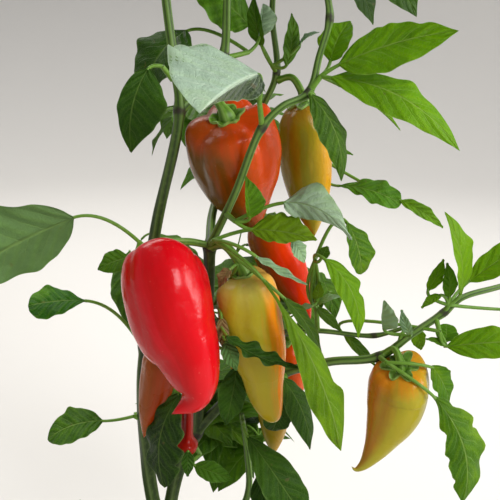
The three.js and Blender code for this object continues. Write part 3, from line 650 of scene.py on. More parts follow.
@dataclass(frozen=True)
class SkinFinish:
    """Glossy fruit skin that ripens from one colour to another round and down the fruit, with painted light
    on some fruits: a lighter lit side, top and streaks.
    """

    name: str
    left: Colour
    right: Colour
    top: Colour
    tip: Colour
    # Streak colour: a real blush on most fruits, a painted highlight on the red one.
    blush_and_painted_sheen: Colour
    turn_at: float = 0.0
    turn_width: float = 0.5
    top_share: float = 0.6
    top_reach: float = 0.22
    tip_share: float = 0.5
    tip_from: float = 0.7
    blush_and_painted_sheen_share: float = 0.4
    roughness: float = 0.27
    gloss: float = 0.15
    streak_scale: float = 2.6
    cloud_scale: float = 22.0
    speck: Colour = (0.8, 0.62, 0.4)
    bump_depth: float = 0.0016

    def material(self) -> bpy.types.Material:
        """Builds the finish from the mesh's turn (1 left, -1 right), front and along values.

        Streaks and clouds of soft noise shift where each colour starts.

        Returns:
            The material.
        """
        g = Graph(self.name)
        turn, front, along = g.number("turn"), g.number("front"), g.number("along")
        streaks = g.noise(self.streak_scale, 3.0, g.vector(turn * 1.3, front * 1.3, along * 0.5))
        clouds = g.noise(self.cloud_scale, 3.0)
        drift = (streaks - 0.5) * 1.1 + (clouds - 0.5) * 0.35
        low, high = self.turn_at - self.turn_width, self.turn_at + self.turn_width
        skin = g.layered(
            self.right,
            ((turn + drift).step(low, high), self.left),
            ((along + drift * 0.2).step(self.top_reach, 0.0) * self.top_share, self.top),
            ((along + drift * 0.15).step(self.tip_from, 1.0) * self.tip_share, self.tip),
            # Streaks of blush, which on the red fruit are a painted highlight.
            (streaks.step(0.5, 0.72) * self.blush_and_painted_sheen_share, self.blush_and_painted_sheen),
            (g.noise(420.0, 2.0).step(0.68, 0.78) * 0.06, self.speck))
        relief = g.noise(48.0, 3.0) * 1.9 + g.noise(120.0, 3.0) * 0.5 + g.noise(1300.0, 1.0) * 0.03
        return g.finished(g.skin({
            "Base Color": skin, "Roughness": self.roughness + (clouds - 0.5) * 0.12,
            "Normal": g.bump(relief, 0.5, self.bump_depth), "Coat Weight": 0.07, "Coat Roughness": 0.12,
            "Specular IOR Level": self.gloss, "Subsurface Weight": 0.08, "Subsurface Scale": 0.5,
            "Subsurface Radius": (0.006, 0.002, 0.0008)}))


@dataclass(frozen=True)
class PlainFinish:
    """A pale, matt studio floor."""

    name: str
    body: Colour
    cloud: Colour
    roughness: float

    def material(self) -> bpy.types.Material:
        """Builds the finish with a faint cloudiness."""
        g = Graph(self.name)
        return g.finished(g.skin({"Base Color": g.mix(g.noise(2.0, 3.0) * 0.06, self.body, self.cloud),
                                  "Roughness": self.roughness}))


LEAF_FINISHES = {finish.shade: finish for finish in (
    LeafFinish(Shade.DEEP, *paints("5f9010 7c9a48 6d8a50"), 0.14, 0.35, 0.45),
    LeafFinish(Shade.GREEN, *paints("8fc418 9cb85c 80a058"), 0.26, 0.38, 0.45),
    LeafFinish(Shade.BRIGHT, *paints("b8e010 bcd470 94b24c"), 0.4, 0.38, 0.4, mottle_and_shading=0.7),
    LeafFinish(Shade.WAXY, *paints("94b050 d2e0c4 5c7c34"), 0.08, 0.5, 0.9, mottle_and_shading=0.6, roughness=0.42,
               sheen=0.14, shine=0.4),
    LeafFinish(Shade.DRY, *paints("a07848 8a6a48 9c8058"), 0.15, 0.5, 0.5, roughness=0.7),
)}
# Tints of the leaf kinds: the darkest is painted shade, the yellow-green one painted sunlight and the pale
# one a painted sky reflection.
TINTS = dict(zip(Shade, paints("2a4c0c 47740f 6c9c08 a6c0a0 8a6a44")))
STEM_FINISH = StemFinish("ribbed_green_stem", *paints("34481a 1c2c0e 7c9050 2a1620 7a6d4c 5c7e30"))
STALK_FINISH = StemFinish("green_stalk", *paints("628a28 3f6414 a8c078 4c3a28 7a6d4c 628a28"))
FLOOR_FINISH = PlainFinish("pale_floor", paint("cbc8c4"), (0.5, 0.49, 0.5), 0.85)


# Leaves


@dataclass(frozen=True)
class Leaf:
    """One leaf: where its blade starts and ends, how wide it is and how it bends."""

    base: Point
    tip: Point
    width: float
    face: Point
    arch: float
    fold: float
    shade: Shade | None = None
    tuck: float | None = None
    tuck_width: float | None = None
    tuck_powers: tuple[float, float] | None = None
    lead: Point | None = None
    sweep: float = 0.0
    twist: float = 0.0
    curl: float = 0.12
    wave: float = 0.07
    waves: float = 2.6
    powers: tuple[float, float] = (0.75, 1.05)
    lobes: float = 0.0
    notches: tuple[tuple[float, float, float], ...] = ()
    tint: Colour | None = None
    # The tucked side's own tint: painted shade and painted light on that side of the fold.
    tuck_shading_tint: Colour | None = None


def crest_of(base: Array, tip: Array, face: Array, arch: Array | float,
             sweep: Array | float) -> tuple[Array, Array]:
    """The point that a blade's midrib bends towards: its middle + 2 arch lift + 2 sweep aside.

    Args:
        base: where the blade starts.
        tip: where it ends.
        face: where its upper face looks.
        arch: how far it bulges that way.
        sweep: how far it bends sideways.

    Returns:
        The point, and the lift: the face direction squared to the line from base to tip.
    """
    along = unit(tip - base)
    lift = square_to(face, along)
    return (base + tip) / 2 + lift * arch * 2 + np.cross(along, lift) * sweep * 2, lift


def per_leaf(values: Iterable[float]) -> Array:
    """One number of each leaf, sized (leaves, 1, 1)."""
    return np.array(list(values), float)[:, None, None]


@dataclass
class Blades:
    """Turns a list of leaves into one surface of thin closed blades."""

    rows: int = 40
    columns: int = 17
    thickness: float = 0.55
    petiole: float = 1.15
    opening: float = 0.2
    flat_base: float = 0.15
    collar_length: float = 0.05
    edge_waves: tuple[tuple[float, float, float], ...] = ((0.028, 17, 1), (0.016, 29, 3), (0.01, 41, 2))
    notch_reach: float = 0.05
    side_change: float = 1.9
    crimp: float = 0.022
    crimps: float = 6
    crinkle: float = 0.035
    crinkles: float = 4.6
    ridge: float = 0.5
    ridge_reach: float = 1.1

    def outline(self, along: Array, powers: Array) -> Array:
        """Half the width as a share of its widest: t^a (1-t)^b over its own peak, with powers a and b."""
        base, tip = powers[..., 0], powers[..., 1]
        peak = base / (base + tip)
        return along ** base * (1 - along) ** tip / (peak ** base * (1 - peak) ** tip)

    def margin(self, leaves: Sequence[Leaf], v: Array, u: Array, phase: Array) -> Array:
        """How uneven the rims are.

        1 + size sin(n v + m phase) summed over the edge waves, less lobes |cos(13 v + phase)|^6. Each notch
        multiplies one side by 1 - depth exp(-((v - place) / reach)^2).

        Args:
            leaves: the leaves.
            v: shares along the blades.
            u: places across them.
            phase: a turn for each leaf and side.

        Returns:
            The factor on half the width.
        """
        margin = 1.0
        for size, count, turns in self.edge_waves:
            margin = margin + size * np.sin(v * count + turns * phase)
        margin = margin - per_leaf(leaf.lobes for leaf in leaves) * np.abs(np.cos(v * 13 + phase)) ** 6
        for number, leaf in enumerate(leaves):
            for place, depth, side in leaf.notches:
                margin[number] *= 1 - depth * bell(v[0] - place, self.notch_reach) * (np.sign(u[0]) == side)
        return margin

    def surface(self, leaves: Sequence[Leaf], shade: Shade, seed: int) -> Surface:
        """Makes the blades.

        Midrib M(v) = (1-v)^2 base + 2 v (1-v) crest + v^2 tip, with side direction S and up direction U
        square to it, both turned by the twist times v. A point at across u is
        M + sign(u) w |u| cos(a) S + w h U, where w is half the width at v and a is the fold, which opens near
        the base. The height h is |u| sin(a) - curl u^2, with ripples: wave u^2 sin(2 pi waves v + phase),
        a crimp sin(2 pi 6 (v - |u|/4)) sin(pi |u|) between the veins, and a crinkle
        |u|^3 sin(2 pi 4.6 v + 2 phase) at the rim. Above and below it the blade has half its thickness, which
        runs out to nothing at the rim, grows to the stalk's at the base and has a ridge under the midrib. The
        tucked side is where u is below 0.

        Args:
            leaves: the leaves.
            shade: the shade that untinted leaves take.
            seed: seed of the small differences between leaves.

        Returns:
            The surface, with across, along, under and tint values.
        """
        rng = np.random.default_rng(seed)

        def column(name: str) -> Array:
            """One field of each leaf, sized (leaves, 1, 1)."""
            return per_leaf(getattr(leaf, name) for leaf in leaves)

        base, tip, face = (np.array([getattr(leaf, name) for leaf in leaves], float)[:, None]
                           for name in ("base", "tip", "face"))
        crest, lift = crest_of(base, tip, face, column("arch"), column("sweep"))
        share = np.linspace(0, 1, self.rows + 1)[:-1]
        v = (share * 0.93 + 0.07 * share ** 0.5)[None, :, None]
        midrib, along = one_bend(base, crest, tip, v)
        tangent = unit(along)
        level = square_to(lift, tangent)
        turn = np.radians(column("twist")) * v
        up = level * np.cos(turn) + np.cross(tangent, level) * np.sin(turn)
        beside = np.cross(tangent, up)

        half = np.linspace(0, 1, self.columns // 2 + 1) ** 0.85
        top = np.concatenate([-half[::-1], half[1:]])
        u = np.concatenate([top, top[-2:0:-1]])[None, None, :]
        below = np.concatenate([np.zeros(self.columns), np.ones(self.columns - 2)])
        below[[0, self.columns - 1]] = 0.5
        size, tucked = np.abs(u), u < 0

        widths = np.where(tucked, per_leaf(leaf.tuck_width or leaf.width for leaf in leaves), column("width"))
        folds = np.where(tucked, per_leaf(leaf.fold if leaf.tuck is None else leaf.tuck for leaf in leaves),
                         column("fold"))
        tuck_powers, powers = (np.array(pairs, float)[:, None, None] for pairs in (
            [leaf.tuck_powers or leaf.powers for leaf in leaves], [leaf.powers for leaf in leaves]))
        phase = rng.uniform(0, FULL_TURN, (len(leaves), 1, 1)) + np.where(tucked, self.side_change, 0.0)
        shape = self.outline(v, np.where(tucked[..., None], tuck_powers, powers))
        wide = np.maximum(shape * widths * 0.5 * self.margin(leaves, v, u, phase), self.petiole)

        angle = np.radians(folds) * np.minimum(v / self.opening, 1)
        ripple = column("wave") * np.sin(FULL_TURN * column("waves") * v + phase) * size ** 2
        crimp = (self.crimp * np.sin(FULL_TURN * self.crimps * (v - 0.25 * size) + 2.4 * (~tucked))
                 * np.sin(np.pi * size))
        crinkle = self.crinkle * np.sin(FULL_TURN * self.crinkles * v + 2 * phase) * size ** 3
        fade = np.minimum(v / self.flat_base, 1)
        height = size * np.sin(angle) - column("curl") * size ** 2 * fade + (ripple + crimp + crinkle) * fade
        rounding = np.sqrt(np.clip(1 - size ** 2, 0, 1))
        collar = np.clip(1 - v / self.collar_length, 0, 1)
        ridge = self.ridge * bell(size * wide, self.ridge_reach) * (1 - v) * (below == 1)
        body = self.thickness / 2 * rounding * (1 - 0.4 * v)
        body = body * (1 - collar) + self.petiole * rounding * collar + ridge
        rise = height * wide + body * (1 - 2 * below)
        sideways = np.sign(u) * wide * size * np.cos(angle)
        rings = (midrib[:, :, None] + sideways[..., None] * beside[:, :, None]
                 + rise[..., None] * up[:, :, None])

        # Some leaves give the tucked side a tint of its own: painted shade where it is darker, painted light
        # where it is lighter.
        tints = np.array([leaf.tint or TINTS[leaf.shade or shade] for leaf in leaves])
        tuck_shading_tints = np.array([leaf.tuck_shading_tint or tint for leaf, tint in zip(leaves, tints)])
        change = rng.uniform(0.85, 1.18, (len(leaves), 1)) * rng.uniform(0.95, 1.05, (len(leaves), 3))
        tints, tuck_shading_tints = ((part * change)[:, None, None] for part in (tints, tuck_shading_tints))
        return closed_shapes(rings, midrib[:, 0], tip[:, 0], {
            "across": u, "along": v, "under": below,
            "tint": np.where(tucked[..., None], tuck_shading_tints, tints)})


@dataclass
class Stalks:
    """Collects thin round stalks and twigs, to be made as one surface."""

    found: list[tuple[Array, Array, Array, tuple[float, float], float]] = field(default_factory=list)

    def add(self, start: Array, lead: Array, end: Array, radii: tuple[float, float],
            joint: float = 0.0) -> None:
        """Adds one stalk from start, towards lead, to end."""
        self.found.append((start, lead, end, radii, joint))

    def add_petiole(self, knot: Point, leaf: Leaf, radii: tuple[float, float] = (1.45, 1.15)) -> None:
        """Adds the stalk of a leaf, which meets the blade in line with its midrib."""
        start, base, tip, face = (np.array(place, float) for place in (knot, leaf.base, leaf.tip, leaf.face))
        crest, _ = crest_of(base, tip, face, leaf.arch, leaf.sweep)
        into = unit(crest - base)
        lead = np.array(leaf.lead, float) if leaf.lead else base - into * 0.4 * np.linalg.norm(base - start)
        self.add(start, lead, base + into * 1.5, radii)

    def surface(self, rows: int, sides: int) -> Surface:
        """All the stalks as one surface."""
        starts, leads, ends, radii, joints = (np.array(part, float) for part in zip(*self.found))
        return bent_tubes(starts, leads, ends, radii, rows, sides, bark(0.0, joints[:, None, None]))


@dataclass(frozen=True)
class Spray:
    """A twig and its leaves, as the solid of that name has them."""

    name: str
    start: Point
    knot: Point
    shade: Shade
    leaves: tuple[Leaf, ...]


# Sprays seen from nearby. start: the stem the twig grows from; knot: where its leaf stalks part.
SPRAYS = (
    Spray("shoulder_leaf", UPPER_NODE, (81, -47, 503), Shade.WAXY, (
        # The pale waxy kind stands for a painted sky reflection, and the tucked side's dark tint is painted
        # shade.
        Leaf((80, -62, 521), (48, -112, 503), 90, (0.39, -0.5, 0.75), 5, -6, tuck_shading_tint=paint("1c3408"),
             tuck=-76, tuck_width=27, tuck_powers=(0.5, 1.8), powers=(0.5, 0.64), wave=0.03, curl=0.05),)),
    Spray("left_hanging_leaf", (21, 0, 515), (15, -6, 524), Shade.DEEP, (
        Leaf((6, -10, 523), (-7, -20, 467), 20, FRONT, 5, 12, tuck=12, tuck_width=46, sweep=5),)),
    Spray("left_shaded_leaf", (56, 20, 529), (74, 34, 533), Shade.DEEP, (
        Leaf((28, 40, 548), (-4, 24, 500), 48, LEFT_FRONT, 10, 10),
        Leaf((82, 38, 543), (85, 40, 567), 22, FRONT, 2, 10, Shade.WAXY, tuck=40, tuck_width=5,
             powers=(1, 0.8)))),
    Spray("top_inner_spray", BACK_NODE, (92, 53, 523), Shade.GREEN, (
        Leaf((74, 48, 552), (30, 36, 582), 44, FRONT_UP, 5, 8),
        Leaf((103, 50, 523), (106, 46, 561), 18, RIGHT_FRONT, 3, 12),
        Leaf((84, 42, 537), (78, 36, 573), 15, LEFT_FRONT, 3, 26),
        Leaf((112, 46, 538), (127, 42, 547), 11, UP, 2, 20, Shade.WAXY))),
    Spray("right_top_spray", HIGH_NODE, (121, -33, 519), Shade.BRIGHT, (
        Leaf((132, -36, 526), (200, -56, 546), 40, FRONT_UP, 5, 10, tuck=10, tuck_width=33,
             notches=((0.42, 0.2, -1), (0.72, 0.15, -1))),
        Leaf((127, -38, 518), (206, -62, 475), 27, (0.3, -0.75, 0.6), 15, -12, tuck=-8, tuck_width=38),
        Leaf((134, -26, 513), (178, -20, 482), 15, (0.5, -0.4, 0.75), 3, 30),
        Leaf((128, -22, 528), (141, -16, 553), 26, LEFT_FRONT, 4, 24))),
    Spray("hanging_leaf", (114, -32, 509), (116, -37, 507), Shade.GREEN, (
        # Its own tint, darker than mid green, is painted shade.
        Leaf((113, -42, 508), (134, -54, 454), 25, RIGHT_FRONT, 6, -8, sweep=-4, tint=paint("36560a")),)),
    Spray("high_right_spray", (123, -23, 590), (132, -16, 600), Shade.DEEP, (
        Leaf((150, -14, 590), (182, -24, 555), 30, FRONT_UP, 6, 10),
        Leaf((133, -2, 588), (160, 6, 551), 26, RIGHT_FRONT, 5, 10))),
    Spray("behind_spray", (74, 64, 474), (122, 92, 454), Shade.GREEN, (
        Leaf((149, 68, 425), (200, 52, 413), 25, FRONT_UP, 8, 14, powers=(1.3, 0.6), wave=0.16, waves=3.5,
             lobes=0.12),
        Leaf((143, 84, 452), (162, 74, 450), 10, UP, 2, 10),
        Leaf((199, 53, 416), (235, 46, 394), 13, FRONT_UP, 4, 20, Shade.BRIGHT, wave=0.12))),
    Spray("left_large_leaf", (0, 0, 388), (-8, -5, 398), Shade.GREEN, (
        Leaf((-50, -24, 422), (-135, -60, 380), 70, AWAY, 5, 8, tint=paint("5f8459")),
        Leaf((-16, -6, 386), (-40, -8, 377), 19, FRONT_UP, 3, 10))),
    Spray("left_small_leaf", (-9, 0, 308), (-15, -5, 320), Shade.GREEN, (
        Leaf((-48, -16, 355), (-88, -28, 356), 36, UP, 2, 8, tint=paint("1e5600"), powers=(1.2, 0.55)),)),
    Spray("left_low_leaf", (-13, 0, 240), (-21, -2, 246), Shade.GREEN, (
        Leaf((-48, 0, 240), (-92, -10, 229), 35, UP, 7, 10, tint=paint("32580f"), powers=(0.75, 0.75)),)),
    Spray("front_dark_leaf", (37, 1, 303), (33, -16, 308), Shade.DEEP, (
        # Its own tint, darker than the painted-shade kind, adds painted shade.
        Leaf((24, -50, 296), (11, -62, 223), 36, LEFT_FRONT, 6, -10, tint=paint("1c3408"),
             lead=(28, -38, 314), sweep=7,
             powers=(0.75, 0.55), wave=0.14, waves=4, lobes=0.14),)),
    Spray("low_left_spray", (25, 5, 217), (34, -12, 216), Shade.DEEP, (
        Leaf((27, -40, 240), (27, -48, 222), 10, FRONT, 2, 10),
        Leaf((30, -25, 215), (61, -30, 205), 16, FRONT_UP, 3, 10, Shade.GREEN))),
    Spray("knee_spray", (58, -28, 426), (65, -42, 424), Shade.GREEN, (
        Leaf((98, -46, 438), (141, -66, 418), 18, (0.25, -0.5, 0.83), 9, -75, Shade.WAXY, tuck=30,
             tuck_width=38, powers=(0.5, 1.6), wave=0.04),
        Leaf((76, -48, 420), (119, -62, 417), 18, FRONT_UP, 4, 8, tint=paint("6c8c08"), tuck=8,
             tuck_width=30, lobes=0.14, notches=((0.75, 0.35, 1), (0.32, 0.2, -1))),
        Leaf((75, -47, 428), (72, -50, 457), 22, FRONT, 3, 14, tuck=50, tuck_width=8, powers=(0.65, 1.1)))),
    Spray("long_leaf_spray", KNEE, (50, -36, 409), Shade.BRIGHT, (
        Leaf((84, -62, 389), (138, -84, 271), 26, RIGHT_FRONT, 7, -12, tint=paint("5a8208"), tuck=-12,
             # The tucked side's own tint, a little lighter than the rest, is painted light.
             tuck_shading_tint=paint("628c10"), tuck_width=43,
             tuck_powers=(2.9, 1.15), sweep=-4, powers=(1.9, 1), wave=0.08, waves=3,
             notches=((0.66, 0.3, -1),)),
        Leaf((98, -54, 373), (127, -50, 325), 17, (0.7, -0.4, 0.6), 4, 12, Shade.DEEP),
        Leaf((79, -60, 405), (113, -66, 387), 9, UP, -2, 34, Shade.WAXY, wave=0.22, waves=2.6),
        Leaf((103, -50, 413), (112, -50, 397), 13, RIGHT_FRONT, 2, 10, Shade.WAXY))),
    Spray("curled_spray", (43, -7, 355), (46, -26, 352), Shade.DEEP, (
        Leaf((59, -69, 351), (109, -76, 331), 16, UP, -6, 34, lead=(53, -52, 352), wave=0.42, waves=3.4,
             lobes=0.08),
        Leaf((58, -64, 345), (66, -72, 327), 12, FRONT, 2, 8, tint=paint("5c8446"), lead=(54, -50, 346)),
        Leaf((55, -52, 358), (57, -58, 335), 9, FRONT, 2, 14, Shade.DRY),
        Leaf((62, -50, 393), (54, -52, 380), 10, LEFT_FRONT, 2, 24, Shade.DRY, wave=0.2))),
    Spray("shaded_leaf", (38, 0, 320), (42, -14, 318), Shade.DEEP, (
        Leaf((65, -26, 305), (56, -30, 256), 22, FRONT, 5, 8),)),
    Spray("leafy_twig", (130, 12, 317), (124, -6, 384), Shade.BRIGHT, (
        Leaf((128, -34, 394), (151, -54, 342), 20, RIGHT_FRONT, 8, -8, tuck=-8, tuck_width=29, sweep=-4,
             notches=((0.5, 0.3, -1),)),
        Leaf((145, -14, 416), (156, -24, 379), 23, RIGHT_FRONT, 4, 10, Shade.GREEN, tuck=10, tuck_width=31,
             powers=(0.9, 0.6)),
        Leaf((126, -6, 352), (127, -14, 370), 9, FRONT, 2, 10, Shade.GREEN),
        Leaf((123, -8, 348), (112, -14, 345), 7, UP, 2, 10, Shade.WAXY),
        Leaf((127, -4, 347), (145, -8, 355), 9, UP, 3, 10, Shade.WAXY),
        Leaf((126, -2, 344), (147, -2, 323), 9, FRONT_UP, 2, 10, Shade.DEEP),
        Leaf((127, -20, 390), (132, -16, 398), 9, FRONT_UP, 2, 10, Shade.DEEP))),
    Spray("dark_hanging_spray", (101, -8, 290), (103, -18, 291), Shade.DEEP, (
        Leaf((100, -23, 293), (123, -27, 231), 24, RIGHT_FRONT, 5, -8, sweep=-3),
        Leaf((101, -20, 278), (93, -20, 244), 24, FRONT, 4, 10, powers=(0.55, 0.55)))),
    Spray("low_dark_spray", (69, -8, 246), (70, -20, 249), Shade.DEEP, (
        Leaf((73, -30, 246), (119, -54, 184), 31, FRONT_UP, 11, 8, powers=(0.95, 0.8)),
        Leaf((81, -28, 207), (96, -44, 170), 24, FRONT_UP, 6, 8))),
    Spray("right_hanging_spray", RIGHT_NODE, (175, -42, 317), Shade.BRIGHT, (
        Leaf((208, -54, 296), (234, -66, 213), 30, (0.35, -0.85, 0.4), 8, -8, tint=paint("406c0c"),
             # The tucked side's own tint, a little lighter than the rest, is painted light.
             tuck_shading_tint=paint("4c7616"), tuck=-8, tuck_width=46, lead=(200, -64, 308), sweep=-8,
             powers=(1, 0.8), wave=0.14, waves=3.5, lobes=0.26),
        Leaf((209, -40, 313), (224, -42, 283), 24, RIGHT_FRONT, 3, 10, Shade.GREEN, lead=(196, -52, 322),
             lobes=0.1))),
    Spray("right_young_spray", (188, -25, 324), (189, -24, 331), Shade.BRIGHT, (
        Leaf((176, -22, 334), (175, -22, 358), 26, LEFT_FRONT, 2, 14, Shade.WAXY, tuck=40, tuck_width=3),
        Leaf((195, -28, 332), (186, -30, 354), 9, LEFT_FRONT, 2, 14, Shade.WAXY),
        Leaf((199, -20, 335), (207, -18, 315), 12, FRONT, 2, 10))),
    Spray("right_fan_spray", FAN_NODE, (222, -24, 355), Shade.BRIGHT, (
        Leaf((229, -27, 365), (209, -34, 429), 30, RIGHT_FRONT, 6, 14, tuck=14, tuck_width=20,
             powers=(0.8, 1.1)),
        Leaf((207, -20, 365), (217, -18, 389), 11, FRONT, 2, 20),
        Leaf((239, -14, 370), (286, -22, 413), 21, FRONT_UP, 3, 14),
        Leaf((222, -24, 361), (217, -26, 389), 12, FRONT, 2, 16, Shade.GREEN),
        Leaf((216, -24, 363), (201, -28, 354), 8, UP, 2, 16),
        Leaf((282, -18, 349), (318, -26, 322), 24, FRONT_UP, 5, 12, lead=(252, -21, 350)))),
    Spray("right_low_spray", (214, -23, 344), (215, -31, 337), Shade.BRIGHT, (
        Leaf((221, -34, 326), (285, -48, 337), 24, FRONT_UP, 5, 8),
        Leaf((222, -26, 326), (223, -20, 338), 17, FRONT_UP, 2, 10, Shade.GREEN, powers=(0.55, 0.55)),
        Leaf((221, -30, 324), (205, -32, 331), 8, UP, 2, 10, Shade.GREEN),
        Leaf((151, 10, 315), (179, 12, 285), 10, FRONT_UP, 2, 10, Shade.DEEP))),
)


@dataclass
class NearSprays:
    """The sprays that show from nearby, each with its own leaves, and the stalks that carry them."""

    blades: Blades = field(default_factory=Blades)
    stalk_rows: int = 14
    stalk_sides: int = 10
    twig_radii: tuple[float, float] = (2.1, 1.7)
    twig_joint: float = 0.25
    first_seed: int = 100
    crease: float = 70.0

    def build(self, leaf_materials: dict[Shade, bpy.types.Material], stalk: bpy.types.Material) -> None:
        """Makes every spray's leaves and all their stalks.

        Args:
            leaf_materials: the finish of each shade.
            stalk: the finish of stalks and twigs.
        """
        stalks = Stalks()
        for number, spray in enumerate(SPRAYS):
            start, knot = np.array(spray.start, float), np.array(spray.knot, float)
            stalks.add(start, (start + knot) / 2, knot, self.twig_radii, self.twig_joint)
            for leaf in spray.leaves:
                stalks.add_petiole(spray.knot, leaf)
            self.blades.surface(spray.leaves, spray.shade, self.first_seed + number).shown_as(
                spray.name + "_blades", leaf_materials[spray.shade], "leaf", [spray.name], self.crease)
        stalks.surface(self.stalk_rows, self.stalk_sides).shown_as("leaf_stalks", stalk, "stem")


# Masses of foliage


class Chance:
    """A repeatable run of numbers from 0 to 1, as the solids have it."""

    def __init__(self, seed: int) -> None:
        """Starts the run."""
        self.state = seed

    def draw(self) -> float:
        """The next number."""
        self.state = (self.state * 1664525 + 1013904223) % 2 ** 32
        return self.state / 2 ** 32


@dataclass(frozen=True)
class Mass:
    """One mass of foliage: its stem's place, its heading and the egg-shaped space that it fills."""

    name: str
    start: Point
    towards: Point
    middle: Point
    reach: Point
    seed: int


MASSES = (
    Mass("crown_left_top", (10, 18, 690), (-0.3, 0, 1), (-14, 16, 754), (84, 86, 72), 11),
    Mass("crown_middle_top", (74, 36, 684), (0.3, 0.3, 1), (94, 70, 746), (72, 86, 72), 23),
    Mass("crown_right_top", (128, -12, 668), (0.2, -0.5, 1), (142, -50, 736), (78, 76, 72), 37),
    Mass("crown_left", (12, 12, 640), (-1, -0.1, 0.15), (-62, 0, 634), (86, 86, 60), 41),
    Mass("crown_front", (17, 6, 600), (0.3, -1, 0.3), (44, -72, 628), (78, 80, 56), 53),
    Mass("crown_back", (62, 26, 640), (-0.4, 1, 0.1), (24, 104, 642), (80, 86, 62), 67),
    Mass("crown_back_right", (106, 74, 640), (0.8, 0.6, 0.3), (160, 116, 652), (76, 78, 68), 71),
    Mass("crown_right", (121, -20, 622), (1, -0.1, 0.1), (186, -18, 632), (80, 80, 56), 83),
    Mass("back_upper", (61, 58, 452), (-0.1, 1, 0.15), (54, 130, 456), (74, 82, 68), 97),
    Mass("back_right", (104, 12, 315), (0, 1, 0.1), (100, 92, 322), (64, 82, 68), 103),
    Mass("back_left", (-8, 0, 315), (0.3, 1, 0.1), (14, 78, 326), (60, 80, 68), 113),
    Mass("back_low", (13, 5, 188), (0.3, 1, 0), (44, 82, 192), (84, 84, 66), 127),
    Mass("right_end", (300, -6, 374), (1, 0.1, 0.1), (336, -4, 368), (68, 78, 64), 131),
    Mass("front_low", (46, -6, 142), (0.3, -1, -0.1), (72, -72, 118), (82, 76, 52), 149),
    Mass("left_low", (-6, 1, 140), (-1, -0.1, -0.2), (-66, -10, 100), (74, 72, 44), 157),
)


@dataclass
class Obstacles:
    """Balls that stand for the limbs and fruits, which leaves and twigs keep clear of."""

    middles: Array
    radii: Array

    def clear_of(self, places: Array, gap: float) -> bool:
        """Whether every place is at least gap outside every ball."""
        away = np.linalg.norm(places[:, None] - self.middles[None], axis=-1) - self.radii
        return bool(away.min() > gap)


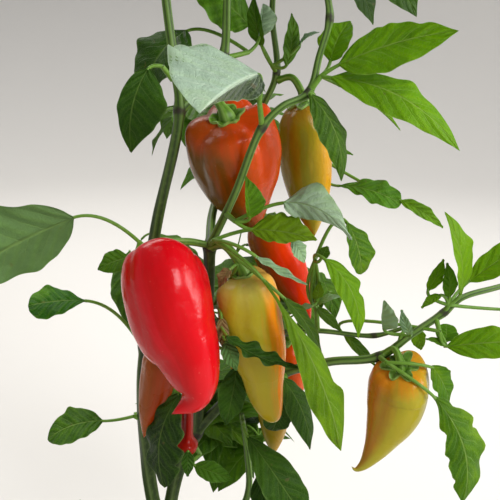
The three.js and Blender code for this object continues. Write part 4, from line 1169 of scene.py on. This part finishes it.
@dataclass
class Foliage:
    """Grows every mass by the rule of the solids, carried to finer twigs."""

    obstacles: Obstacles
    blades: Blades = field(default_factory=lambda: Blades(rows=16, columns=9))
    twig_length: float = 31.0
    twig_radius: float = 1.9
    shortening: float = 0.25
    thinning: float = 0.8
    leaves_at_fork: tuple[int, ...] = (1, 2, 3, 3, 2)
    leaf_tries: int = 12
    leaf_length: float = 98.0
    leaf_shortening: float = 0.5
    width_share: float = 0.44
    stalk_share: float = 0.26
    droop: tuple[float, float] = (0.1, 1.7)
    forward_share: float = 0.45
    lift_share: float = 0.2
    fork: float = math.radians(36)
    sag: float = 0.06
    spacing: float = 16.0
    clearance: float = 1.5
    overhang: float = 3.0
    crease: float = 70.0
    twig_joint: float = 0.15
    stalk_radii: tuple[float, float] = (1.15, 0.95)
    rim: tuple[tuple[float, float], ...] = (
        (0.1, 0), (0.3, 1), (0.3, -1), (0.5, 1), (0.5, -1), (0.7, 0), (1, 0))

    def in_space(self, mass: Mass, place: Array) -> bool:
        """Whether a place lies in the mass's own space."""
        off = (place - np.array(mass.middle)) / np.array(mass.reach)
        return float(off @ off) <= 1

    def in_box(self, places: Array) -> bool:
        """Whether places lie in the box of the solids, or over it by no more than the overhang."""
        low, high = (np.array(corner) / MM for corner in CAD_BOX)
        return bool(np.all(places > low - self.overhang) and np.all(places < high + self.overhang))

    def grow(self, mass: Mass) -> tuple[list[Leaf], Stalks]:
        """Grows one mass: forking twigs with leaves tried round each fork.

        A leaf stays where its base and tip are in the mass's space, its middle keeps the spacing from the
        other leaves, and its rim, given as places along and across it, keeps clear of limbs and fruits.

        Args:
            mass: the mass.

        Returns:
            Its leaves, and its twigs and leaf stalks.
        """
        chance = Chance(mass.seed)
        leaves: list[Leaf] = []
        middles: list[Array] = []
        stalks = Stalks()
        last = len(self.leaves_at_fork) - 1
        # Leaves of the masses take the painted-shade tint mixed at random with the mid green one.
        shaded_copy, green = np.array(TINTS[Shade.DEEP]), np.array(TINTS[Shade.GREEN])

        def add_leaves(end: Array, heading: Array, level: int, turn: float) -> None:
            """Tries leaves round the end of a twig."""
            wanted = self.leaves_at_fork[level]
            for step in range(self.leaf_tries):
                if wanted == 0:
                    return
                swing = turn + step / self.leaf_tries * 2 * FULL_TURN + chance.draw() - 0.5
                outward = unit(heading * self.forward_share
                               + np.array([math.cos(swing), math.sin(swing), self.lift_share]))
                size = self.leaf_length * (1 - self.leaf_shortening * chance.draw())
                fall = self.droop[0] + (self.droop[1] - self.droop[0]) * chance.draw()
                base = end + outward * size * self.stalk_share
                tip = base + unit(outward + np.array([0, 0, -fall])) * size
                middle = (base + tip) / 2
                roomy = all(np.linalg.norm(middle - other) > self.spacing for other in middles)
                fits = self.in_space(mass, tip) and self.in_space(mass, base)
                if not (roomy and fits):
                    continue
                side = unit(np.cross(tip - base, [0, 0, 1])) * size * self.width_share / 2
                rim = np.array([base + (tip - base) * along + side * across for along, across in self.rim])
                if not (self.in_box(rim) and self.obstacles.clear_of(rim, self.clearance)):
                    continue
                middles.append(middle)
                shade = chance.draw()
                lean = 0.35 * (chance.draw() - 0.5)
                leaves.append(Leaf(
                    tuple(base), tuple(tip), size * self.width_share * (0.85 + 0.3 * chance.draw()),
                    (lean, lean * 0.5, 1), size * 0.08, 4 + 16 * chance.draw(),
                    twist=60 * (chance.draw() - 0.5), wave=0.05 + 0.09 * chance.draw(),
                    curl=0.05 + 0.15 * chance.draw(), tint=tuple(shaded_copy * (1 - shade) + green * shade)))
                stalks.add_petiole(tuple(end), leaves[-1], self.stalk_radii)
                wanted -= 1

        def branch(start: Array, heading: Array, length: float, radius: float, level: int,
                   turn: float) -> None:
            """Grows one twig, its leaves and the two twigs that fork from it."""
            end = start + heading * length
            next_radius = radius * self.thinning
            path = start + (end - start) * np.linspace(0.35, 1, 4)[:, None]
            inside = self.in_space(mass, end) and self.in_box(end)
            if level > 0 and not (inside and self.obstacles.clear_of(path, radius)):
                return
            sag = np.array([0, 0, -self.sag * length])
            before = len(leaves)
            add_leaves(end, heading, level, turn)
            if level < last or len(leaves) > before:
                stalks.add(start, (start + end) / 2 + sag, end, (radius, next_radius), self.twig_joint)
            if level == last:
                return
            side = square_to(np.array([math.cos(turn), math.sin(turn), self.lift_share]), heading)
            for sign in (-1, 1):
                onward = unit(heading * math.cos(self.fork) + side * sign * math.sin(self.fork))
                shorter = length * (1 - self.shortening * chance.draw())
                branch(end, onward, shorter, next_radius, level + 1, turn + GOLDEN_TURN)

        branch(np.array(mass.start, float), unit(np.array(mass.towards, float)), self.twig_length,
               self.twig_radius, 0, chance.draw() * FULL_TURN)
        return leaves, stalks

    def build(self, leaf_material: bpy.types.Material, stalk: bpy.types.Material) -> None:
        """Makes one piece of leaves for each mass, and one of all the twigs.

        Args:
            leaf_material: the finish of the leaves.
            stalk: the finish of twigs and leaf stalks.
        """
        twigs = []
        for mass in MASSES:
            leaves, stalks = self.grow(mass)
            self.blades.surface(leaves, Shade.GREEN, mass.seed).shown_as(
                mass.name + "_leaves", leaf_material, "leaf", [mass.name], self.crease)
            twigs.append(stalks.surface(rows=5, sides=6))
            log.info("%s: %d leaves", mass.name, len(leaves))
        Surface.joined(twigs).shown_as("foliage_twigs", stalk, "stem")


# Stems


@dataclass(frozen=True)
class Limb:
    """One stem or bough: the points that it passes, its first and last radius and its joints."""

    name: str
    through: tuple[Point, ...]
    radii: tuple[float, float]
    joints: tuple[Point, ...] = ()
    first_normal: Point = (1, 0, 0)


LIMBS = (
    Limb("main_stem", ((0, 0, 0), (0, 0, 40), (-1, 1, 85), LOW_FORK), (8.5, 7.4)),
    Limb("left_stem", (LOW_FORK, (-10, 0, 166), (-13, 0, 269), (-8, 0, 315), (3, 0, 400), LEFT_FORK,
                       (22, 0, 528), (18, 5, 567), (12, 12, 640), (10, 18, 690)), (6.2, 2.2),
         (LEFT_FORK, (3, 0, 390), (-9, 0, 310))),
    Limb("right_stem", (LOW_FORK, (13, 5, 188), RIGHT_FORK, (34, 3, 270), (38, 0, 315), (43, -7, 357),
                        KNEE), (6, 4.2), (RIGHT_FORK, (38, 0, 315), KNEE)),
    Limb("upper_bough", (KNEE, (65, -32, 442), UPPER_NODE, (96, -38, 500), HIGH_NODE, (120, -28, 531),
                         (126, -26, 554), (123, -24, 575), (120, -18, 640), (128, -12, 668)), (2.9, 1.7),
         (KNEE, UPPER_NODE, HIGH_NODE, (126, -26, 554))),
    Limb("middle_stem", (LEFT_FORK, (38, 10, 505), (50, 18, 519), (56, 20, 531), (59, 20, 568),
                         (62, 26, 640), (74, 36, 684)), (3.4, 2), (LEFT_FORK, SPUR_NODE)),
    Limb("back_stem", (KNEE, (46, 8, 414), (52, 40, 431), (61, 58, 452), (74, 64, 474), (88, 60, 497),
                       BACK_NODE, (92, 56, 562), (97, 64, 610), (106, 74, 640)), (3.4, 1.8),
         (KNEE, BACK_NODE, (74, 64, 474))),
    Limb("right_bough", (RIGHT_FORK, (46, 2, 248), (71, -4, 278), (101, -8, 290), (137, -18, 305),
                         RIGHT_NODE, (197, -25, 332), FAN_NODE, (233, -20, 359), (262, -15, 366),
                         (300, -6, 374)), (4.6, 1.7), (RIGHT_FORK, (101, -8, 290), RIGHT_NODE, FAN_NODE),
         (0, 1, 0)),
    Limb("back_bough", ((38, 0, 318), (75, 4, 314), (104, 12, 315), (130, 12, 317), (175, 5, 316),
                        (197, 2, 324)), (2.8, 1.6), ((104, 12, 315), (175, 5, 316))),
    Limb("low_shoot", (LOW_FORK, (40, -4, 138), (66, -12, 160), (74, -14, 184), (72, -10, 222),
                       (68, -8, 252)), (4, 2), (LOW_FORK,)),
)


@dataclass
class Stems:
    """All the stems and boughs, ribbed and swollen at their joints."""

    row_gap: float = 2.2
    sides: int = 36
    ribs: int = 5
    rib_depth: float = 0.05
    fine_rib_depth: float = 0.015
    rib_turn: float = 0.006
    lump_depth: float = 0.02
    lump_length: float = 9.0
    swelling: float = 0.3
    swelling_reach: float = 5.0
    foot: str = "main_stem"
    flare: float = 0.75
    flare_height: float = 22.0
    cork_heights: tuple[float, float] = (150.0, 20.0)
    young_radii: tuple[float, float] = (4.4, 2.8)
    crease: float = 80.0

    def limb_surface(self, limb: Limb) -> Surface:
        """One limb.

        Point at share s and angle a: middle line + r (cos a N + sin a B). The radius r tapers, and is
        multiplied by 1 + swelling exp(-(d / reach)^2) near a joint, by slow lumps, and by
        1 + depth cos(ribs (a + twist)), with three fine ribs on each rib. The foot flares by exp(-z / height)
        and is cut flat at the ground.

        Args:
            limb: the limb.

        Returns:
            Its surface with rib, joint, cork and young values.
        """
        fine = catmull_rom(limb.through)
        length = float(np.linalg.norm(np.diff(fine, axis=0), axis=1).sum())
        share = np.linspace(0, 1, int(length / self.row_gap))[:, None]
        line = respaced(fine, share[:, 0])
        _, normal, other = carried_frames(line, limb.first_normal)
        angle = angles(self.sides)
        twist = share * length * self.rib_turn
        wave = np.cos(self.ribs * (angle + twist))
        small = np.cos(3 * self.ribs * (angle + twist) + 1)
        radius = limb.radii[0] + (limb.radii[1] - limb.radii[0]) * share
        joint = np.zeros_like(share)
        for place in limb.joints:
            gap = np.linalg.norm(line - np.array(place, float), axis=1)[:, None]
            joint = np.maximum(joint, bell(gap, self.swelling_reach))
        swell = 1 + self.swelling * joint
        if limb.name == self.foot:
            swell = swell * (1 + self.flare * np.exp(-line[:, 2:] / self.flare_height))
        lumps = 1 + self.lump_depth * np.sin(share * length / self.lump_length + angle * 2)
        ribbing = 1 + self.rib_depth * wave * (1 - 0.6 * joint) + self.fine_rib_depth * small
        rings = rings_round(line, normal, other, radius * swell * lumps * ribbing)
        if limb.name == self.foot:
            rings[0, :, 2] = 0
        return closed_shape(rings, line[0], line[-1], bark(
            wave, joint, smooth(line[:, 2:], *self.cork_heights), smooth(radius, *self.young_radii)))

    def build(self, material: bpy.types.Material) -> None:
        """Makes the stems one piece that stands for every limb."""
        Surface.joined([self.limb_surface(limb) for limb in LIMBS]).shown_as(
            "stems_and_boughs", material, "stem", [limb.name for limb in LIMBS], self.crease)


# Fruits


@dataclass(frozen=True)
class Fruit:
    """One fruit: its stalk, its middle line and the form and colours of its skin."""

    name: str
    hangs: Point
    stalk_bend: Point
    axis: tuple[Point, ...]
    radius: float
    lobes: int
    lobe_depth: float
    fullness: float
    slot: str
    skin: SkinFinish
    profile: tuple[tuple[float, float], ...] = ()
    lobe_turn: float = 0.0
    rise: float = 0.05
    lean: float = 0.0
    lean_turn: float = 225.0
    crease: float = 0.05
    cap: float = 0.5
    cap_points: float = 0.18
    stalk_radius: float = 2.5


FRUITS = (
    Fruit("red_fruit", KNEE, (30, -24, 404),
          ((14, -33, 402), (15, -44, 390), (20, -54, 368), (25, -61, 352), (33, -68, 337), (38, -76, 318),
           (36, -80, 309), (22, -85, 301)), 30.4, 3, 0.05, 2.6, "red_skin",
          # The right side is lighter than the left and the streaks pinker: painted light and a painted
          # highlight.
          SkinFinish("ripe_red_skin", *paints("b80004 cc0412 c40818 c0040e dc1428"), turn_at=-0.2,
                     roughness=0.22, gloss=0.2),
          profile=((0, 0.3), (0.05, 0.72), (0.1, 0.91), (0.2, 1), (0.33, 0.99), (0.48, 0.9), (0.62, 0.72),
                   (0.72, 0.6), (0.8, 0.48), (0.88, 0.28), (0.95, 0.11), (1, 0)), lobe_turn=40, cap=0.3,
          cap_points=0.05),
    Fruit("upper_orange_fruit", (41, 12, 508), (46, 6, 507),
          ((59, -5, 489), (62, 1, 473), (65, 6, 455), (69, 9, 436), (74, 11, 420), (80, 12, 400)),
          33.2, 4, 0.05, 2.8, "orange_skin",
          SkinFinish("orange_red_skin", *paints("66440a cc4404 d44014 6c4404 a84808"), turn_at=-0.05,
                     top_share=0.5, top_reach=0.2, tip_share=0.7, tip_from=0.5),
          profile=((0, 0.28), (0.04, 0.72), (0.09, 0.93), (0.2, 1), (0.32, 1), (0.42, 0.95), (0.52, 0.88),
                   (0.62, 0.77), (0.72, 0.61), (0.82, 0.42), (0.92, 0.2), (1, 0)),
          lobe_turn=-20, rise=0.13, lean=0.75, crease=0.1, cap=0.33, cap_points=0.05,
          stalk_radius=3.2),
    Fruit("upper_olive_fruit", (97, 60, 512), (108, 56, 514),
          ((118, 50, 494), (120, 48, 450), (128, 42, 388)), 21, 3, 0.04, 3, "yellow_skin",
          SkinFinish("olive_yellow_skin", *paints("848014 c48c18 a8601c a09420 a87810"), turn_at=-0.4)),
    Fruit("middle_orange_fruit", (49, 24, 422), (66, 36, 424),
          ((85, 38, 404), (99, 36, 372), (117, 32, 336), (126, 30, 318)), 19.5, 3, 0.05, 2.4, "orange_skin",
          SkinFinish("vivid_orange_skin", *paints("7a4606 dc2e00 8c4c08 a01404 c43c04"), turn_at=0.3,
                     top_reach=0.4, gloss=0.08)),
    Fruit("middle_yellow_fruit", (46, -21, 399), (57, -30, 403),
          ((71, -35, 383), (74, -36, 366), (76, -38, 348), (80, -39, 330), (84, -41, 312), (86, -42, 296),
           (90, -44, 280), (95, -44, 268)), 22.8, 3, 0.06, 3, "yellow_skin",
          # The orange right side is brightened as painted light, and the pale top is a painted highlight.
          SkinFinish("ripening_yellow_skin", *paints("a89820 f88a14 c0b85c ac8a14 b8a828"), turn_at=-0.5,
                     turn_width=0.3, top_share=0.7),
          profile=((0, 0.3), (0.05, 0.8), (0.1, 0.95), (0.19, 1), (0.36, 0.98), (0.45, 0.94), (0.53, 0.87),
                   (0.61, 0.75), (0.68, 0.66), (0.76, 0.6), (0.83, 0.53), (0.9, 0.42), (0.96, 0.26), (1, 0)),
          lobe_turn=150, rise=0.1, lean=0.9, cap=0.36, cap_points=0.05, stalk_radius=2.9),
    Fruit("low_orange_fruit", (41, -4, 345), (54, 12, 352), ((65, 28, 332), (68, 27, 290), (77, 23, 246)),
          15, 3, 0.05, 2.4, "orange_skin",
          SkinFinish("deep_yellow_skin", *paints("b87410 d09018 c45c0c c08414 cc680c"))),
    Fruit("left_brown_fruit", (-6, -1, 330), (-2, -20, 340), ((9, -30, 324), (4, -33, 292), (-7, -38, 250)),
          13.5, 3, 0.05, 2.4, "orange_skin",
          SkinFinish("brown_orange_skin", *paints("8c4408 a83c0c 84400c 9c5010 a84c0c"))),
    Fruit("twisted_red_fruit", (34, 2, 288), (33, -16, 294), ((26, -25, 278), (26, -29, 252), (24, -32, 232)),
          8, 3, 0.3, 2.6, "red_skin",
          SkinFinish("dark_red_skin", *paints("7c0e08 901408 6c0e0a 902410 942010"), gloss=0.1),
          profile=((0, 0.45), (0.1, 0.6), (0.5, 0.55), (0.68, 0.62), (0.84, 1.2), (0.95, 1), (1, 0)),
          lobe_turn=60),
    Fruit("behind_orange_fruit", (104, 12, 315), (105, 22, 312),
          ((108, 29, 300), (111, 29, 270), (117, 26, 240)), 15, 3, 0.07, 2.4, "orange_skin",
          SkinFinish("bright_orange_skin", *paints("c05408 d84c08 cc4408 b03c0a d8640c"))),
    Fruit("low_olive_fruit", (88, -7, 286), (90, 2, 284), ((93, 5, 268), (95, 3, 236), (95, 2, 205)),
          13, 3, 0.05, 2.4, "yellow_skin",
          SkinFinish("dull_olive_skin", *paints("94841c b08a1c 8c6810 b8841c a87814"))),
    Fruit("right_yellow_fruit", (174, -25, 313), (183, -29, 321),
          ((186, -40, 312), (188, -36, 299), (188, -34, 288), (184, -37, 270), (178, -39, 255),
           (171, -42, 242), (162, -45, 230), (156, -46, 227), (153, -46, 230)), 22.8, 3, 0.05, 2.2,
          "yellow_skin",
          SkinFinish("yellow_green_skin", *paints("b8701c aa9c24 d88418 90903a a89c2a"), turn_at=0.62,
                     turn_width=0.4, top_share=0.75, top_reach=0.15),
          profile=((0, 0.33), (0.05, 0.78), (0.1, 0.93), (0.18, 1), (0.28, 0.99), (0.38, 0.92), (0.46, 0.82),
                   (0.55, 0.7), (0.65, 0.54), (0.75, 0.38), (0.85, 0.22), (0.94, 0.09), (1, 0)),
          lobe_turn=30, rise=0.1, lean=0.8, cap=0.36, cap_points=0.26),
)


@dataclass
class FruitBuilder:
    """Makes one fruit's skin, and its stalk and cap."""

    fruit: Fruit
    rows: int = 84
    sides: int = 96
    shoulder: float = 0.2
    rounding: float = 0.92
    hollow: float = 0.16
    crown_at: float = 0.05
    crown_reach: float = 0.045
    crease: float = 80.0
    cap_rows: int = 18
    cap_sides: int = 90
    cap_under: float = 0.2
    cap_over: float = 1.3
    cap_rim: float = 0.7
    pleat: float = 0.4
    stalk_rows: int = 40
    stalk_sides: int = 20

    def frame(self, shares: Array) -> tuple[Array, Array, Array, Array]:
        """Middle line and its directions at given shares of the fruit's length."""
        fine = np.linspace(0, 1, 120)
        line = respaced(catmull_rom(self.fruit.axis), fine)
        tangent, across, side = carried_frames(line, (0, -1, 0))
        return tuple(np.stack([np.interp(shares, fine, rows[:, axis]) for axis in range(3)], axis=-1)
                     for rows in (line, tangent, across, side))

    def outline(self, along: Array) -> Array:
        """Width as a share of the radius.

        It follows the fruit's profile, smoothed. Without one it is sqrt(1 - 0.92 (1 - t / 0.2)^2) to the
        shoulder and 1 - u^fullness after it.
        """
        if self.fruit.profile:
            knots = catmull_rom([(place, width, 0) for place, width in self.fruit.profile], 8)
            return np.interp(along, knots[:, 0], np.maximum(knots[:, 1], 0))
        rise = np.clip(1 - along / self.shoulder, 0, 1)
        run = np.clip((along - self.shoulder) / (1 - self.shoulder), 0, 1)
        return np.where(along < self.shoulder, np.sqrt(1 - rise ** 2 * self.rounding),
                        1 - run ** self.fruit.fullness)

    def skin_points(self, along: Array, angle: Array) -> Array:
        """Points of the skin.

        Middle line + R outline(t) (1 + lobes + creases + ripples) times the direction at a, raised by the
        crown. Lobes: depth (1-t) cos(n a + turn). Creases: a narrow dip between lobes that fades down the
        fruit. Crown: a bump of R rise at t = 0.05, higher on the lobes and on the side that the fruit leans
        up to.

        Args:
            along: shares along the fruit.
            angle: angles round it.

        Returns:
            The points.
        """
        fruit = self.fruit
        line, tangent, across, side = self.frame(along)
        swing = fruit.lobes * angle + math.radians(fruit.lobe_turn)
        lobe = fruit.lobe_depth * (1 - along) * np.cos(swing)
        crease = -fruit.crease * (1 - along) ** 2 * np.exp((np.cos(swing + np.pi) - 1) * 7)
        ripple = 0.012 * np.sin(angle * 2 + along * 9) + 0.008 * np.sin(angle * 5 - along * 17 + 1)
        radius = fruit.radius * self.outline(along) * (1 + lobe + crease + ripple * smooth(along, 0, 0.15))
        high = (1 + 0.5 * np.cos(swing)) * (1 + fruit.lean * np.cos(angle - math.radians(fruit.lean_turn)))
        crown = fruit.radius * fruit.rise * bell(along - self.crown_at, self.crown_reach) * high
        return line + radius[..., None] * spokes(angle, across, side) - crown[..., None] * tangent

    def hollow_point(self) -> Array:
        """The deepest point under the cap."""
        line, tangent, _, _ = self.frame(np.zeros(1))
        return line[0] + tangent[0] * self.fruit.radius * self.hollow

    def skin_surface(self) -> Surface:
        """The skin as a closed surface with turn, front and along values."""
        share = (np.linspace(0, 1, self.rows + 1)[:-1] ** 1.35 * 0.985)[:, None]
        along, angle = np.broadcast_arrays(share, angles(self.sides)[None])
        return closed_shape(self.skin_points(along, angle), self.hollow_point(), self.frame(np.ones(1))[0][0],
                            {"turn": np.sin(angle), "front": np.cos(angle), "along": along})

    def cap_surface(self) -> Surface:
        """The green cap, a ragged star that lies on the skin.

        It starts from the hollow and runs out over the skin to a distance from the middle line that differs
        with the angle: R (cap + points |cos 3a|^1.6). Its lower face is 0.2 mm off the skin and its upper
        face 1.3 mm, with twelve pleats and a thicker rim.

        Returns:
            The surface, with the stem finish's values.
        """
        fruit = self.fruit
        angle = np.broadcast_to(angles(self.cap_sides), (self.cap_rows, self.cap_sides))
        points = np.abs(np.cos(angle * 3 + fruit.radius)) ** 1.6
        edge = fruit.cap + fruit.cap_points * points + 0.015 * np.sin(angle * 7)
        reach = np.broadcast_to(np.linspace(0.06, 1, self.cap_rows)[:, None], angle.shape)
        shares = np.linspace(0, self.shoulder, 80)
        widths = self.outline(shares)
        bowl = np.clip(reach * edge / widths[0], 0, 1)[..., None]
        share = np.interp(reach * edge, widths, shares)
        skin = self.skin_points(share, angle) * bowl + self.hollow_point() * (1 - bowl)
        _, tangent, across, side = self.frame(share)
        lean = np.clip(share / self.shoulder, 0, 1)[..., None] * np.pi / 2
        outward = unit(spokes(angle, across, side) * np.sin(lean) - tangent * np.cos(lean))
        pleats = self.pleat * np.cos(angle * 12) * smooth(reach, 0.3, 0.8)
        upper = skin + outward * (self.cap_over + pleats + self.cap_rim * smooth(reach, 0.85, 1.0))[..., None]
        lower = skin + outward * self.cap_under
        # The rib value sets the stem finish's painted shade, darker towards the hollow and between six
        # crests, and its painted highlight on the rim.
        rib = np.where(reach > 0.93, 1.0, -0.4 + 0.9 * np.cos(angle * 6) * reach)
        down = self.frame(np.zeros(1))[1][0]
        middle = self.hollow_point()
        return closed_shape(np.concatenate([upper, lower[::-1]]), middle - down * self.cap_over,
                            middle - down * self.cap_under, bark(np.concatenate([rib, rib[::-1]])))

    def stalk_surface(self) -> Surface:
        """The stalk: a ribbed tube along a smooth line, wider at its joint and at the cap."""
        fruit = self.fruit
        top = np.array(fruit.axis[0], float)
        down = unit(np.array(fruit.axis[1], float) - top)
        knots = (fruit.hangs, fruit.stalk_bend, top - down * 2.5, top + down * fruit.radius * 0.12)
        share = np.linspace(0, 1, self.stalk_rows)[:, None]
        line = respaced(catmull_rom(knots), share[:, 0])
        _, normal, other = carried_frames(line, (1, 0, 0))
        wave = np.cos(5 * angles(self.stalk_sides))
        radius = (fruit.stalk_radius + 0.5 * share + fruit.radius * 0.11 * smooth(share, 0.62, 1)
                  + 0.8 * bell(share, 0.07)) * (1 + 0.07 * wave)
        return closed_shape(rings_round(line, normal, other, radius), line[0], line[-1],
                            bark(wave, 0.8 * bell(share, 0.08)))

    def build(self) -> None:
        """Makes the fruit's skin a piece of its own."""
        self.skin_surface().shown_as(self.fruit.name + "_skin", self.fruit.skin.material(), self.fruit.slot,
                                     [self.fruit.name], self.crease)


# Studio


@dataclass(frozen=True)
class Panel:
    """One square soft light: its place in metres, its side in metres, its power in watts and its colour."""

    name: str
    place: Point
    side: float
    power: float
    colour: Colour


PANELS = (
    Panel("sky_panel", (-0.5, 1.0, 2.4), 2.2, 80.0, (1.0, 0.98, 0.94)),
    Panel("front_panel", (1.5, -1.3, 1.7), 1.0, 42.0, (0.97, 0.98, 1.0)),
    Panel("side_panel", (2.2, 0.1, 1.0), 1.0, 30.0, (1.0, 0.99, 0.98)),
)


@dataclass
class Studio:
    """Pale floor, soft lights and the camera that looks as the photograph does."""

    target: Point = (75.0, 0.0, 390.0)
    distance: float = 475.0
    pitch: float = math.radians(18)
    lens: float = 45.0
    aim: Point = (0.07, 0, 0.4)
    floor_sides: int = 96
    floor_start: float = 0.3
    floor_radius: float = 3.6
    floor_drop: float = 0.0005
    bend: float = 1.4
    wall_top: float = 2.6
    room_colour: Colour = (0.83, 0.88, 0.93)
    room_strength: float = 0.36

    def add_camera(self) -> None:
        """Places the camera at its distance from the target, looking along +Y and down by its pitch."""
        data = bpy.data.cameras.new("photo_camera")
        data.lens = self.lens
        data.sensor_width = 36.0
        data.clip_start = 0.02
        camera = bpy.data.objects.new("photo_camera", data)
        back = np.array([0, -math.cos(self.pitch), math.sin(self.pitch)])
        camera.location = (np.array(self.target) + back * self.distance) * MM
        camera.rotation_euler = (math.pi / 2 - self.pitch, 0, 0)
        bpy.context.scene.collection.objects.link(camera)
        bpy.context.scene.camera = camera

    def add_panel(self, panel: Panel) -> None:
        """Adds one soft light, turned to the aim."""
        data = bpy.data.lights.new(panel.name, "AREA")
        data.size = panel.side
        data.energy = panel.power
        data.color = panel.colour
        light = bpy.data.objects.new(panel.name, data)
        light.location = panel.place
        down = np.array(self.aim) - np.array(panel.place)
        yaw = math.atan2(down[0], -down[1])
        tilt = math.atan2(math.hypot(down[0], down[1]), -down[2])
        light.rotation_euler = (tilt, 0, yaw + math.pi)
        bpy.context.scene.collection.objects.link(light)

    def add_floor(self) -> None:
        """Adds the floor, which runs up into a round wall.

        Profile: flat out to the bend, then a quarter circle, then upright; turned round the middle.
        """
        turn = np.linspace(0, np.pi / 2, 16)
        bend_start = self.floor_radius - self.bend
        flat = np.linspace(self.floor_start, bend_start, 12)[:-1]
        reach = np.concatenate([flat, bend_start + self.bend * np.sin(turn), [self.floor_radius]])[:, None]
        rise = np.concatenate([0 * flat, self.bend * (1 - np.cos(turn)), [self.wall_top]])[:, None]
        angle = angles(self.floor_sides)
        points = np.stack([reach * np.cos(angle), reach * np.sin(angle), rise + 0 * angle], axis=-1)
        points = np.concatenate([points.reshape(-1, 3), [[0, 0, 0]]])
        faces = grid_quads(len(reach), self.floor_sides)[:, [0, 3, 2, 1]].tolist()
        faces += [(side, (side + 1) % self.floor_sides, len(points) - 1) for side in range(self.floor_sides)]
        mesh = bpy.data.meshes.new("floor")
        mesh.from_pydata(points.tolist(), [], faces)
        mesh.materials.append(FLOOR_FINISH.material())
        mesh.shade_smooth()
        floor = bpy.data.objects.new("floor", mesh)
        floor.location = (0, 0, -self.floor_drop)
        bpy.context.scene.collection.objects.link(floor)

    def build(self) -> None:
        """Sets up the studio."""
        self.add_camera()
        self.add_floor()
        for panel in PANELS:
            self.add_panel(panel)
        world = bpy.data.worlds.new("pale_room")
        world.use_nodes = True
        glow = world.node_tree.nodes["Background"]
        glow.inputs[0].default_value = self.room_colour + (1.0,)
        glow.inputs[1].default_value = self.room_strength
        bpy.context.scene.world = world
        settings = bpy.context.scene.view_settings
        settings.view_transform = "Standard"
        settings.look = "None"


def make_obstacles() -> Obstacles:
    """Balls along every limb and fruit."""
    on_limb, on_fruit = np.linspace(0, 1, 60), np.linspace(0.1, 0.95, 12)
    middles = [respaced(catmull_rom(limb.through), on_limb) for limb in LIMBS]
    middles += [respaced(catmull_rom(fruit.axis), on_fruit) for fruit in FRUITS]
    radii = [np.linspace(*limb.radii, len(on_limb)) for limb in LIMBS]
    radii += [fruit.radius * FruitBuilder(fruit).outline(on_fruit) for fruit in FRUITS]
    return Obstacles(np.concatenate(middles), np.concatenate(radii))


def main() -> None:
    """Builds the plant and its studio, piece by piece."""
    logging.basicConfig(level=logging.INFO, format="%(message)s")
    leaf_materials = {shade: finish.material() for shade, finish in LEAF_FINISHES.items()}
    stalk = STALK_FINISH.material()
    Stems().build(STEM_FINISH.material())
    green = []
    for fruit in FRUITS:
        builder = FruitBuilder(fruit)
        builder.build()
        green += [builder.cap_surface(), builder.stalk_surface()]
    Surface.joined(green).shown_as("fruit_caps_and_stalks", stalk, "stem", crease=60.0)
    NearSprays().build(leaf_materials, stalk)
    Foliage(make_obstacles()).build(leaf_materials[Shade.GREEN], stalk)
    Studio().build()


if __name__ == "__main__":
    main()
